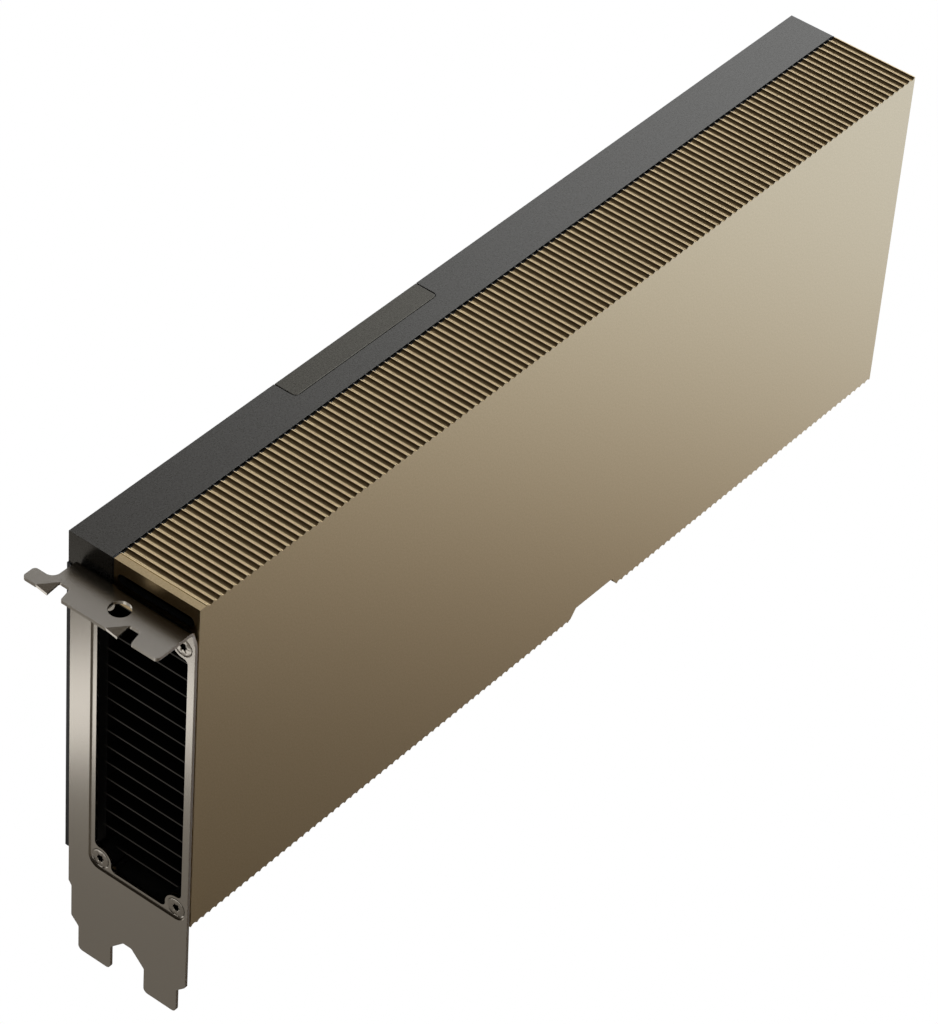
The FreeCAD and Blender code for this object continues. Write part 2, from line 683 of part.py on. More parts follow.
def fin_heights():
    first = Z_LOW + FIN_FIRST
    pitch = (Z_TOP - FIN_LAST_DROP - first) / (FIN_COUNT - 1)
    return [first + pitch * k for k in range(FIN_COUNT)]


def power_zone():
    half = POWER_WIDTH / 2 + POWER_CLEARANCE
    return X_END - POWER_INSET - POWER_LENGTH - 4 * POWER_CLEARANCE, Z_POWER - half, Z_POWER + half


def heatsink_fins():
    # Flat plates pressed into the grooves of the base.
    y0 = Y_FRONT + FRONT_WALL + FIN_TIP_GAP
    y1 = Y_BASE_FRONT + FIN_GROOVE
    x_power, z_power_low, z_power_high = power_zone()
    clear = POST_RADIUS + POST_GAP
    fins = []
    for z in fin_heights():
        x1 = x_power if z_power_low < z < z_power_high else X_BASE_FAR
        fin = block(X_BASE_NEAR, x1, y0, y1, z - FIN_THICKNESS / 2, z + FIN_THICKNESS / 2)
        for x0, (front, back), screw_radius in post_ends():
            for y, z_post in front + back:
                if abs(z - z_post) < clear + FIN_THICKNESS:
                    fin = fin.cut(rod_x(x0 - 1, x0 + POST_LENGTH + FIN_END_GAP, y, z_post, clear))
        fins.append(fin.Solids[0] if fin.Solids else fin)
    return fins


def heatsink_base():
    base = block(X_BASE_NEAR, X_BASE_FAR, Y_BASE_FRONT, Y_BASE_BACK, Z_BASE_LOW, Z_BASE_TOP)
    x_power, z0, z1 = power_zone()
    base = base.cut(block(x_power, X_END, Y_BASE_FRONT - 1, Y_BASE_BACK + 1, z0, z1))
    base = base.cut(latch_notch(1.0))
    y_roof = Y_BOARD_FRONT - INDUCTOR_HEIGHT - INDUCTOR_PAD
    for x_column in inductor_columns():
        half_x = INDUCTOR_SIZE / 2 + POCKET_MARGIN
        half_z = INDUCTOR_PITCH * (INDUCTOR_COUNT - 1) / 2 + INDUCTOR_SIZE / 2 + POCKET_MARGIN
        base = base.cut(block(x_column - half_x, x_column + half_x, y_roof, Y_BASE_BACK + 1,
                              Z_PROCESSOR - half_z, Z_PROCESSOR + half_z))
    grooves = []
    for z in fin_heights():
        grooves.append(block(X_BASE_NEAR - 1, X_BASE_FAR + 1, Y_BASE_FRONT - 1, Y_BASE_FRONT + FIN_GROOVE,
                             z - FIN_THICKNESS / 2, z + FIN_THICKNESS / 2))
    base = base.cut(Part.makeCompound(grooves))
    holes = []
    for x, z in backplate_screw_places() + hold_down_places():
        base = base.fuse(rod_y(x, Y_BASE_BACK, Y_BOARD_FRONT, z, STANDOFF_RADIUS))
        holes.append(rod_y(x, Y_BASE_FRONT + FIN_GROOVE + THREAD_END, Y_BOARD_BACK, z,
                           SMALL_SCREW_RADIUS + THREAD_GAP))
    for x0, (front, back), screw_radius in post_ends():
        for y, z in back:
            post, hole = post_and_hole(x0, y, z, screw_radius)
            base = base.fuse(post)
            holes.append(hole)
    xs, y = flange_screw_places()
    for x in xs:
        radius = FLANGE_SCREW_RADIUS + THREAD_GAP
        for z in (Z_BASE_LOW - 1, Z_BASE_TOP + 1 - FLANGE_SCREW_LENGTH):
            holes.append(Part.makeCylinder(radius, FLANGE_SCREW_LENGTH, vec(x, y, z)))
    return base.cut(Part.makeCompound(holes)).removeSplitter()


# Board and what is soldered to it

def board_outline():
    hook_x1 = LONG_END + HOOK_GAP + HOOK_WIDTH
    toe_x0 = LONG_END + HOOK_GAP
    toe_x1 = toe_x0 + HOOK_TOE
    shoulder = CONTACT_TAB_HEIGHT
    key = KEY_WIDTH / 2
    x_tongue0 = X_BRIDGE + BRIDGE_TONGUE_MARGIN
    x_tongue1 = X_BRIDGE + BRIDGE_LENGTH - BRIDGE_TONGUE_MARGIN
    toe_top = HOOK_BOTTOM + HOOK_TOE_HEIGHT
    return [
        (X_BOARD_NEAR, shoulder), (SHORT_START, shoulder), (SHORT_START, 0), (-key, 0), (-key, KEY_DEPTH),
        (key, KEY_DEPTH), (key, 0), (LONG_END, 0), (LONG_END, shoulder), (toe_x1, shoulder),
        (toe_x1, toe_top), (toe_x0, toe_top), (toe_x0, HOOK_BOTTOM), (hook_x1, HOOK_BOTTOM),
        (hook_x1, shoulder), (X_BOARD_FAR, shoulder), (X_BOARD_FAR, Z_BOARD_TOP), (x_tongue1, Z_BOARD_TOP),
        (x_tongue1, Z_TONGUE_TOP), (x_tongue0, Z_TONGUE_TOP), (x_tongue0, Z_BOARD_TOP),
        (X_BOARD_NEAR, Z_BOARD_TOP),
    ]


def circuit_board():
    points = board_outline()
    board = plate_xz(points, Y_BOARD_FRONT, Y_BOARD_BACK)
    across = vec(0, 1, 0)
    place = [vec(x, Y_BOARD_FRONT, z) for x, z in points]
    board = round_edges(board, BOARD_CORNER, [place[i] for i in (0, 12, 13, 15, 16, 21)], across)
    board = round_edges(board, KEY_WIDTH / 2 - 0.02, [place[4], place[5]], across)
    for side in (-1, 1):
        y = side * BOARD_THICKNESS / 2
        deep = y - side * EDGE_BEVEL
        bevel = [(y, -1), (y, EDGE_BEVEL_HEIGHT), (deep, 0), (deep, -1)]
        board = board.cut(plate_yz(bevel, SHORT_START - 1, LONG_END + 1))
    holes = [rod_y(x, Y_BOARD_FRONT - 1, Y_BOARD_BACK + 1, z, SMALL_SCREW_RADIUS + SMALL_SCREW_GAP)
             for x, z in backplate_screw_places() + hold_down_places()]
    return board.cut(Part.makeCompound(holes))


def contact_rows():
    short_first = -KEY_WIDTH / 2 - CONTACT_PITCH * (SHORT_CONTACT_COUNT - 0.5)
    long_first = KEY_WIDTH / 2 + CONTACT_PITCH / 2
    short = [short_first + CONTACT_PITCH * k for k in range(SHORT_CONTACT_COUNT)]
    return short + [long_first + CONTACT_PITCH * k for k in range(LONG_CONTACT_COUNT)]


def edge_contacts():
    half = CONTACT_WIDTH / 2
    z0 = EDGE_BEVEL_HEIGHT + CONTACT_RISE
    pads = []
    for x in contact_rows():
        for y0, y1 in ((Y_BOARD_FRONT - CONTACT_THICKNESS, Y_BOARD_FRONT),
                       (Y_BOARD_BACK, Y_BOARD_BACK + CONTACT_THICKNESS)):
            pads.append(block(x - half, x + half, y0, y1, z0, z0 + CONTACT_HEIGHT - CONTACT_RISE))
    return pads


def bridge_contacts():
    half = BRIDGE_CONTACT_WIDTH / 2
    middle = X_BRIDGE + BRIDGE_LENGTH / 2
    first = middle - BRIDGE_CONTACT_PITCH * (BRIDGE_CONTACT_COUNT - 1) / 2
    z1 = Z_TONGUE_TOP - BRIDGE_CONTACT_INSET
    pads = []
    for k in range(BRIDGE_CONTACT_COUNT):
        x = first + BRIDGE_CONTACT_PITCH * k
        for y0, y1 in ((Y_BOARD_FRONT - CONTACT_THICKNESS, Y_BOARD_FRONT),
                       (Y_BOARD_BACK, Y_BOARD_BACK + CONTACT_THICKNESS)):
            pads.append(block(x - half, x + half, y0, y1, z1 - BRIDGE_CONTACT_HEIGHT, z1))
    return pads


def centred(width, height, y0, y1, dx=0.0, dz=0.0):
    x = X_PROCESSOR + dx
    z = Z_PROCESSOR + dz
    return block(x - width / 2, x + width / 2, y0, y1, z - height / 2, z + height / 2)


def processor_substrate():
    return centred(SUBSTRATE_SIZE, SUBSTRATE_SIZE, Y_SUBSTRATE, Y_BOARD_FRONT)


def processor_die():
    return centred(DIE_WIDTH, DIE_HEIGHT, Y_DIE, Y_SUBSTRATE)


def thermal_paste():
    return centred(DIE_WIDTH + 2 * (MEMORY_WIDTH + MEMORY_GAP), DIE_HEIGHT, Y_BASE_BACK, Y_DIE)


def memory_stacks():
    dx = (DIE_WIDTH + MEMORY_WIDTH) / 2 + MEMORY_GAP
    dz = MEMORY_HEIGHT + MEMORY_GAP
    return [centred(MEMORY_WIDTH, MEMORY_HEIGHT, Y_DIE, Y_SUBSTRATE, i * dx, j * dz)
            for i in (-1, 1) for j in (-1, 0, 1)]


def package_stiffener():
    y0 = Y_SUBSTRATE - STIFFENER_THICKNESS
    inner = SUBSTRATE_SIZE - 2 * STIFFENER_WIDTH
    ring = centred(SUBSTRATE_SIZE, SUBSTRATE_SIZE, y0, Y_SUBSTRATE)
    return ring.cut(centred(inner, inner, y0 - 1, Y_SUBSTRATE + 1))


def inductor_columns():
    half = SUBSTRATE_SIZE / 2
    return [X_PROCESSOR - half - INDUCTORS_BEFORE_SUBSTRATE, X_PROCESSOR + half + INDUCTORS_PAST_SUBSTRATE]


def inductor_rows():
    first = Z_PROCESSOR - INDUCTOR_PITCH * (INDUCTOR_COUNT - 1) / 2
    return [first + INDUCTOR_PITCH * k for k in range(INDUCTOR_COUNT)]


def board_block(x, z, width, height, thickness):
    return block(x - width / 2, x + width / 2, Y_BOARD_FRONT - thickness, Y_BOARD_FRONT,
                 z - height / 2, z + height / 2)


def regulator_places():
    return [(x, z) for x in inductor_columns() for z in inductor_rows()]


def inductors():
    return [board_block(x, z, INDUCTOR_SIZE, INDUCTOR_SIZE, INDUCTOR_HEIGHT) for x, z in regulator_places()]


def inductor_pads():
    y1 = Y_BOARD_FRONT - INDUCTOR_HEIGHT
    z0 = inductor_rows()[0] - INDUCTOR_SIZE / 2
    z1 = inductor_rows()[-1] + INDUCTOR_SIZE / 2
    half = INDUCTOR_SIZE / 2
    return [block(x - half, x + half, y1 - INDUCTOR_PAD, y1, z0, z1) for x in inductor_columns()]


def stage_offset():
    return INDUCTOR_SIZE / 2 + POCKET_MARGIN + STAGE_GAP + STAGE_WIDTH / 2


def power_stages():
    return [board_block(x + stage_offset(), z, STAGE_WIDTH, STAGE_LENGTH, STAGE_HEIGHT)
            for x, z in regulator_places()]


def power_stage_pads():
    y1 = Y_BOARD_FRONT - STAGE_HEIGHT
    z0 = inductor_rows()[0] - STAGE_LENGTH / 2
    z1 = inductor_rows()[-1] + STAGE_LENGTH / 2
    half = STAGE_WIDTH / 2
    return [block(x + stage_offset() - half, x + stage_offset() + half, Y_BASE_BACK, y1, z0, z1)
            for x in inductor_columns()]


def polymer_capacitors():
    gap = INDUCTOR_SIZE / 2 + POCKET_MARGIN + CAPACITOR_GAP + CAPACITOR_WIDTH / 2
    return [board_block(x - gap, z, CAPACITOR_WIDTH, CAPACITOR_LENGTH, CAPACITOR_HEIGHT)
            for x, z in regulator_places()]


def ceramic_capacitors():
    reach = SUBSTRATE_SIZE / 2 + CERAMIC_FROM_SUBSTRATE
    pitch = 2 * reach / CERAMIC_COUNT
    spots = [pitch * (k + 0.5) - reach for k in range(CERAMIC_COUNT)]
    rows = [(X_PROCESSOR + s, Z_PROCESSOR + side * reach) for s in spots for side in (-1, 1)]
    return [board_block(x, z, CERAMIC_LENGTH, CERAMIC_WIDTH, CERAMIC_WIDTH) for x, z in rows]


def controller_chips():
    # Two regulator controllers before the near column, one past the far one, one by the power inlet.
    near, far = inductor_columns()
    spots = [(near - CHIP_FROM_COLUMN, Z_PROCESSOR - CHIP_SPREAD),
             (near - CHIP_FROM_COLUMN, Z_PROCESSOR + CHIP_SPREAD),
             (far + stage_offset() + CHIP_FROM_COLUMN, Z_PROCESSOR - CHIP_SPREAD),
             (power_zone()[0] - CHIP_FROM_POWER, Z_POWER)]
    return [board_block(x, z, CHIP_SIZE, CHIP_SIZE, CHIP_HEIGHT) for x, z in spots]


# Power connector

def power_columns():
    return [Z_POWER + POWER_PITCH * (k - 1.5) for k in range(4)]


def power_rows():
    middle = Y_BOARD_FRONT - POWER_HEIGHT / 2
    return [middle - POWER_PITCH / 2, middle + POWER_PITCH / 2]


def power_connector_housing():
    x1 = X_END - POWER_INSET
    x0 = x1 - POWER_LENGTH
    half = POWER_WIDTH / 2
    housing = block(x0, x1, Y_BOARD_FRONT - POWER_HEIGHT, Y_BOARD_FRONT, Z_POWER - half, Z_POWER + half)
    y_front = Y_BOARD_FRONT - POWER_HEIGHT
    catch = [(x1 - POWER_CATCH_START, y_front), (x1 - POWER_CATCH_START, y_front - POWER_CATCH_HEIGHT),
             (x1 - POWER_CATCH_END, y_front)]
    wedge = Part.makePolygon([vec(x, y, Z_POWER - POWER_CATCH_WIDTH / 2) for x, y in catch + catch[:1]])
    housing = housing.fuse(Part.Face(wedge).extrude(vec(0, 0, POWER_CATCH_WIDTH)))
    cavities = []
    pin = POWER_PIN / 2
    for z in power_columns():
        for y in power_rows():
            side = POWER_CAVITY / 2
            cavities.append(block(x1 - POWER_CAVITY_DEPTH, x1 + 1, y - side, y + side, z - side, z + side))
            cavities.append(block(x0 - 1, x1, y - pin, y + pin, z - pin, z + pin))
    return housing.cut(Part.makeCompound(cavities))


def power_connector_pins():
    # Right-angled square pins: the mating end in its cavity, the tail down to the board.
    x1 = X_END - POWER_INSET
    x0 = x1 - POWER_LENGTH
    pin = POWER_PIN / 2
    pins = []
    for z in power_columns():
        for row, y in enumerate(power_rows()):
            x_tail = x0 - POWER_TAIL_OUT + POWER_TAIL_STEP * row
            bar = block(x_tail, x1 - POWER_PIN_INSET, y - pin, y + pin, z - pin, z + pin)
            tail = block(x_tail, x_tail + POWER_PIN, y - pin, Y_BOARD_FRONT, z - pin, z + pin)
            pins.append(bar.fuse(tail).removeSplitter())
    return pins


# Cover strip, bridge cover and backplate

def bridge_recess(gap, z0, z1):
    # Footprint of the bridge cover: square at the back, rounded at its two front corners.
    x0 = X_BRIDGE - gap
    x1 = X_BRIDGE + BRIDGE_LENGTH + gap
    y1 = Y_BACK - COVER_BACK_INSET
    y0 = y1 - BRIDGE_DEPTH - gap
    recess = block(x0, x1, y0, y1, z0, z1)
    corners = [vec(x0, y0, z0), vec(x1, y0, z0)]
    return round_edges(recess, BRIDGE_CORNER + gap, corners, vec(0, 0, 1))


def top_cover():
    y1 = Y_BACK - COVER_BACK_INSET
    cover = block(X_COVER_NEAR, X_END, Y_COVER_FRONT, y1, Z_COVER_LEG, Z_TOP)
    hollow = block(X_COVER_NEAR + COVER_WALL, X_END - COVER_WALL, Y_COVER_FRONT - 1, y1 - COVER_WALL,
                   Z_COVER_LEG - 1, Z_COVER_UNDER)
    cover = cover.cut(hollow)
    far_relief = block(X_END - COVER_WALL - 1, X_END + 1, Y_COVER_FRONT - 1, y1 - COVER_WALL,
                       Z_COVER_LEG - 1, Z_COVER_UNDER - COVER_END_DROP)
    cover = cover.cut(far_relief)
    return cover.cut(bridge_recess(COVER_SEAM, Z_TOP - BRIDGE_SKIRT, Z_TOP + 1))


def bridge_cover():
    # Snap-in cap with a skirt that goes down round the bridge contacts.
    y1 = Y_BACK - COVER_BACK_INSET
    cap = bridge_recess(0, Z_TOP - COVER_WALL, Z_TOP)
    z1 = Z_TOP - COVER_WALL
    skirt_back = block(X_BRIDGE, X_BRIDGE + BRIDGE_LENGTH, y1 - COVER_WALL, y1, Z_TOP - BRIDGE_SKIRT, z1)
    x_clip = X_BRIDGE + BRIDGE_CLIP_INSET
    y_clip = Y_BOARD_FRONT - BRIDGE_CLIP_GAP
    clip = block(x_clip, x_clip + BRIDGE_CLIP_WIDTH, y_clip - BRIDGE_CLIP_WALL, y_clip,
                 Z_TOP - BRIDGE_CLIP_REACH, z1)
    other = clip.copy()
    other.translate(vec(BRIDGE_LENGTH - 2 * BRIDGE_CLIP_INSET - BRIDGE_CLIP_WIDTH, 0, 0))
    return cap.fuse(skirt_back).fuse(clip).fuse(other).removeSplitter()


def backplate_outline():
    cut = BACKPLATE_CHAMFER
    x0 = X_PLATE_NEAR
    x1 = X_END
    z0 = Z_PLATE_LOW
    z1 = Z_PLATE_TOP
    return [(x0, z0 + cut), (x0 + cut, z0), (x1 - cut, z0), (x1, z0 + cut), (x1, z1), (x0, z1)]


def backplate():
    plate = plate_xz(backplate_outline(), Y_PLATE_IN, Y_BACK)
    for x, z in backplate_screw_places():
        plate = plate.fuse(rod_y(x, Y_BOARD_BACK, Y_PLATE_IN, z, DIMPLE_RADIUS))
    hole = SMALL_SCREW_RADIUS + SMALL_SCREW_GAP
    sink_depth = BACK_HEAD_HEIGHT + BACK_HEAD_SINK
    for x, z in backplate_screw_places():
        sink = Part.makeCone(BACK_HEAD_RADIUS + SMALL_SCREW_GAP, hole, sink_depth,
                             vec(x, Y_BACK, z), vec(0, -1, 0))
        plate = plate.cut(sink).cut(rod_y(x, Y_BOARD_BACK - 1, Y_BACK, z, hole))
    return plate


def insulating_sheet():
    # Lines the backplate between its two rows of screws.
    places = backplate_screw_places()
    clear = DIMPLE_RADIUS + DIMPLE_GAP
    return block(X_PLATE_NEAR + SHEET_INSET, X_END - SHEET_INSET, Y_PLATE_IN - SHEET_THICKNESS, Y_PLATE_IN,
                 places[0][1] + clear, places[-1][1] - clear)


def backplate_screws():
    return [countersunk_screw(vec(x, Y_BACK - BACK_HEAD_SINK, z), vec(0, -1, 0), SMALL_SCREW_RADIUS,
                              BACK_HEAD_RADIUS, BACK_HEAD_HEIGHT, BACK_SCREW_LENGTH)
            for x, z in backplate_screw_places()]


def retention_spring():
    # Leaf spring behind the processor: two crossed arms with a screw at each tip.
    y0 = Y_BOARD_BACK
    y1 = Y_BOARD_BACK + SPRING_THICKNESS
    reach = hold_down_reach() * math.sqrt(2) + SPRING_PAST_SCREW
    spring = None
    for angle in (45, -45):
        arm = block(-reach, reach, y0, y1, -SPRING_ARM / 2, SPRING_ARM / 2)
        arm.rotate(vec(0, 0, 0), vec(0, 1, 0), angle)
        spring = arm if spring is None else spring.fuse(arm)
    spring.translate(vec(X_PROCESSOR, 0, Z_PROCESSOR))
    holes = [rod_y(x, y0 - 1, y1 + 1, z, SMALL_SCREW_RADIUS + SMALL_SCREW_GAP)
             for x, z in hold_down_places()]
    centre = rod_y(X_PROCESSOR, y0 - 1, y1 + 1, Z_PROCESSOR, SPRING_HOLE)
    return spring.removeSplitter().cut(Part.makeCompound(holes + [centre]))


def hold_down_screws():
    y = Y_BOARD_BACK + SPRING_THICKNESS
    screws = []
    for x, z in hold_down_places():
        head = rod_y(x, y, y + HOLD_DOWN_HEAD_HEIGHT, z, HOLD_DOWN_HEAD_RADIUS)
        shank = rod_y(x, y - HOLD_DOWN_LENGTH, y, z, SMALL_SCREW_RADIUS)
        screws.append(head.fuse(shank).removeSplitter())
    return screws


NODES = {
    "io_bracket": io_bracket,
    "bracket_screws": bracket_screws,
    "shroud": shroud,
    "shroud_screws": shroud_screws,
    "heatsink_fins": heatsink_fins,
    "heatsink_base": heatsink_base,
    "circuit_board": circuit_board,
    "edge_contacts": edge_contacts,
    "bridge_contacts": bridge_contacts,
    "processor_substrate": processor_substrate,
    "processor_die": processor_die,
    "memory_stacks": memory_stacks,
    "package_stiffener": package_stiffener,
    "thermal_paste": thermal_paste,
    "inductors": inductors,
    "inductor_pads": inductor_pads,
    "power_stages": power_stages,
    "power_stage_pads": power_stage_pads,
    "polymer_capacitors": polymer_capacitors,
    "ceramic_capacitors": ceramic_capacitors,
    "controller_chips": controller_chips,
    "power_connector_housing": power_connector_housing,
    "power_connector_pins": power_connector_pins,
    "top_cover": top_cover,
    "bridge_cover": bridge_cover,
    "backplate": backplate,
    "insulating_sheet": insulating_sheet,
    "backplate_screws": backplate_screws,
    "retention_spring": retention_spring,
    "hold_down_screws": hold_down_screws,
}

os.makedirs("parts", exist_ok=True)
for name, make in NODES.items():
    made = make()
    save(name, made if isinstance(made, list) else [made])
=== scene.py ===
import math

import bmesh
import bpy
import numpy as np
from mathutils import Matrix, Vector


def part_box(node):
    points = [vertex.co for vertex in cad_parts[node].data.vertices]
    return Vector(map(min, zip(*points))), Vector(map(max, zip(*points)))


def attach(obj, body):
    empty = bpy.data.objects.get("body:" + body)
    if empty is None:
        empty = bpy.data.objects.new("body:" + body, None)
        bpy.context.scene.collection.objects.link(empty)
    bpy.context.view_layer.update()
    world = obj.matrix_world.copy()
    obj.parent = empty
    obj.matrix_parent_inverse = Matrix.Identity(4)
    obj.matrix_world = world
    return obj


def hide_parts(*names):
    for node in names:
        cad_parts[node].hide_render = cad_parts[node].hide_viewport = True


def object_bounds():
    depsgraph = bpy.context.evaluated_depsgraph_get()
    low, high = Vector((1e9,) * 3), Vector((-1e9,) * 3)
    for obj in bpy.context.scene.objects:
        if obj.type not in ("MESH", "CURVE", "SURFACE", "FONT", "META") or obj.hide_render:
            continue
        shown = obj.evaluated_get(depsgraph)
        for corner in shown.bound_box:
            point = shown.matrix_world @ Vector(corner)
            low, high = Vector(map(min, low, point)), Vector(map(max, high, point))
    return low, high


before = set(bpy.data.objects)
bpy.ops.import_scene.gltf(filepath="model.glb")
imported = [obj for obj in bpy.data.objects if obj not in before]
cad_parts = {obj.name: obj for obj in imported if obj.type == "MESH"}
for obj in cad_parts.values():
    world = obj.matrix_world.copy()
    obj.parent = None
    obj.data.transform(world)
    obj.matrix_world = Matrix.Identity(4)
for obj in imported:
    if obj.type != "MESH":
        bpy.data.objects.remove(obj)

cad_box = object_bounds()

# The photographer's place. A long lens looks down at the near end of the card from in front and
# to its left, tilted a little, so that the long edges run up to the right.
MM = 0.001
CAMERA_PLACE = Vector((-620.63, -511.58, 785.80)) * MM
CAMERA_AZIMUTH = math.radians(-54.018)
CAMERA_ELEVATION = math.radians(41.033)
CAMERA_ROLL = math.radians(-4.606)
PHOTO_WIDTH = 938
FOCAL_PIXELS = 4694.6
SENSOR_WIDTH = 36.0
NEAREST_SEEN = 10 * MM

away = Vector((math.sin(CAMERA_AZIMUTH) * math.cos(CAMERA_ELEVATION),
               -math.cos(CAMERA_AZIMUTH) * math.cos(CAMERA_ELEVATION),
               math.sin(CAMERA_ELEVATION)))
level = (-away).cross(Vector((0, 0, 1))).normalized()
upright = level.cross(-away)
up = upright * math.cos(CAMERA_ROLL) + level * math.sin(CAMERA_ROLL)
right = level * math.cos(CAMERA_ROLL) - upright * math.sin(CAMERA_ROLL)
camera_data = bpy.data.cameras.new("camera")
camera_data.sensor_fit = "HORIZONTAL"
camera_data.sensor_width = SENSOR_WIDTH
camera_data.lens = FOCAL_PIXELS / PHOTO_WIDTH * SENSOR_WIDTH
camera_data.clip_start = NEAREST_SEEN
camera = bpy.data.objects.new("camera", camera_data)
camera_turn = Matrix((right, up, away)).transposed().to_4x4()
camera.matrix_world = Matrix.Translation(CAMERA_PLACE) @ camera_turn
bpy.context.scene.collection.objects.link(camera)
bpy.context.scene.camera = camera
bpy.context.scene.view_settings.view_transform = "Standard"


# Studio floor: a wide sheet of seamless paper well below the card, so that no hard shadow falls on the
# white ground. The camera sees it lit to pure white. The metal mirrors it as it stands in the room, with
# a bright part at the right, one long soft edge, and a dim part at the left.
FLOOR_DROP = 0.9
FLOOR_REACH = 9.0
WHITE = (1.0, 1.0, 1.0, 1.0)
PAPER_TOOTH_MM = 2.5
BRIGHT_EDGE_AXIS = (0.877, -0.480, 0.0)
BRIGHT_EDGE_START = (1.02, 1.06, 1.10)
BRIGHT_EDGE_END = (1.50, 1.52, 1.54)
BRIGHT_PART = (1.10, 1.30, 1.68)
DIM_FRONT = (0.085, 0.067, 0.046, 1.0)
DIM_BACK = (0.228, 0.212, 0.190, 1.0)
DIM_FADE = 0.4


def srgb(code):
    """Turns a six-figure sRGB hex colour into linear light, with alpha 1."""
    parts = [int(code[i:i + 2], 16) / 255 for i in (0, 2, 4)]
    linear = [c / 12.92 if c <= 0.04045 else ((c + 0.055) / 1.055) ** 2.4 for c in parts]
    return (*linear, 1.0)


def new_material(name):
    """A node material with no nodes in it yet."""
    material = bpy.data.materials.new(name)
    material.use_nodes = True
    material.node_tree.nodes.clear()
    return material


def add(owner, kind, inputs=None, **settings):
    """Adds one node. settings are its properties; inputs give each socket a value or a socket to link.
    A colour Mix has its share at 0 and its colours at 6 and 7, and gives its result at 2. A Map Range
    of vectors has its value at 6, its ends at 7 to 10, and its result at 1."""
    tree = owner.node_tree
    made = tree.nodes.new(kind)
    for key, value in settings.items():
        setattr(made, key, value)
    for socket, value in (inputs or {}).items():
        if isinstance(value, bpy.types.NodeSocket):
            tree.links.new(value, made.inputs[socket])
        else:
            made.inputs[socket].default_value = value
    return made


def grain_noise(owner, grain_mm, detail=3.0, roughness=0.55):
    """Noise in spots of grain_mm on Object coordinates; returns its value socket."""
    place = add(owner, "ShaderNodeTexCoord").outputs["Object"]
    noise = add(owner, "ShaderNodeTexNoise", {"Vector": place, "Scale": 1.0 / (grain_mm * MM),
                                              "Detail": detail, "Roughness": roughness})
    return noise.outputs["Fac"]


floor_mesh = bpy.data.meshes.new("floor")
floor_z = cad_box[0][2] - FLOOR_DROP
corner_signs = [(-1, -1), (1, -1), (1, 1), (-1, 1)]
floor_mesh.from_pydata([(x * FLOOR_REACH, y * FLOOR_REACH, floor_z) for x, y in corner_signs],
                       [], [(0, 1, 2, 3)])
floor = bpy.data.objects.new("floor", floor_mesh)
bpy.context.scene.collection.objects.link(floor)

paper = new_material("studio_paper")
paper_ray = add(paper, "ShaderNodeLightPath").outputs
paper_place = add(paper, "ShaderNodeTexCoord").outputs["Object"]
paper_tooth = grain_noise(paper, PAPER_TOOTH_MM, detail=2.0, roughness=0.5)
paper_tone = add(paper, "ShaderNodeMix", {0: paper_tooth, 6: srgb("f4f4f3"), 7: srgb("fafaf9")},
                 data_type="RGBA")
paper_surface = add(paper, "ShaderNodeBsdfPrincipled", {"Base Color": paper_tone.outputs[2],
                                                        "Roughness": 0.9, "Specular IOR Level": 0.2})
paper_across = add(paper, "ShaderNodeVectorMath", {0: paper_place, 1: BRIGHT_EDGE_AXIS},
                   operation="DOT_PRODUCT").outputs["Value"]
paper_behind = add(paper, "ShaderNodeMapRange", {"Value": paper_across, "From Min": DIM_FADE,
                                                 "From Max": -DIM_FADE})
paper_dim = add(paper, "ShaderNodeMix", {0: paper_behind.outputs[0], 6: DIM_FRONT, 7: DIM_BACK},
                data_type="RGBA")
paper_mirrored = add(paper, "ShaderNodeMapRange", {6: paper_across, 7: BRIGHT_EDGE_START,
                                                   8: BRIGHT_EDGE_END, 9: paper_dim.outputs[2],
                                                   10: BRIGHT_PART},
                     data_type="FLOAT_VECTOR", interpolation_type="SMOOTHSTEP")
paper_seen = add(paper, "ShaderNodeMix", {0: paper_ray["Is Glossy Ray"], 6: WHITE,
                                          7: paper_mirrored.outputs[1]}, data_type="RGBA")
paper_glow = add(paper, "ShaderNodeEmission", {"Color": paper_seen.outputs[2], "Strength": 1.0})
seen_or_mirrored = add(paper, "ShaderNodeMath", {0: paper_ray["Is Camera Ray"],
                                                 1: paper_ray["Is Glossy Ray"]}, operation="ADD")
glows = add(paper, "ShaderNodeMath", {0: seen_or_mirrored.outputs[0],
                                      1: paper_ray["Is Transmission Ray"]},
            operation="ADD", use_clamp=True)
paper_mix = add(paper, "ShaderNodeMixShader", {0: glows.outputs[0], 1: paper_surface.outputs[0],
                                               2: paper_glow.outputs[0]})
add(paper, "ShaderNodeOutputMaterial", {"Surface": paper_mix.outputs[0]})
# A sampled light ray can't tell that it is a mirrored one, so the glow is left out of light sampling.
paper.cycles.emission_sampling = "NONE"
floor_mesh.materials.append(paper)

# Room: even soft light on everything matt. What the metal mirrors of it is a wide bright wall on the
# right and a warm dark overhead and on the left, with a long soft edge between the two.
WALL_EDGE_AXIS = (0.80, -0.24, -0.56)
WALL_EDGE_START = -0.06
WALL_EDGE_END = 0.18
BRIGHT_WALL = (2.10, 2.19, 2.34, 1.0)
DARK_LEFT = (0.018, 0.014, 0.010, 1.0)
DARK_RIGHT = (0.155, 0.139, 0.118, 1.0)
DARK_LEFT_END = -0.7
DARK_RIGHT_END = 0.5
SOFT_LIGHT = (0.9, 0.9, 0.9, 1.0)

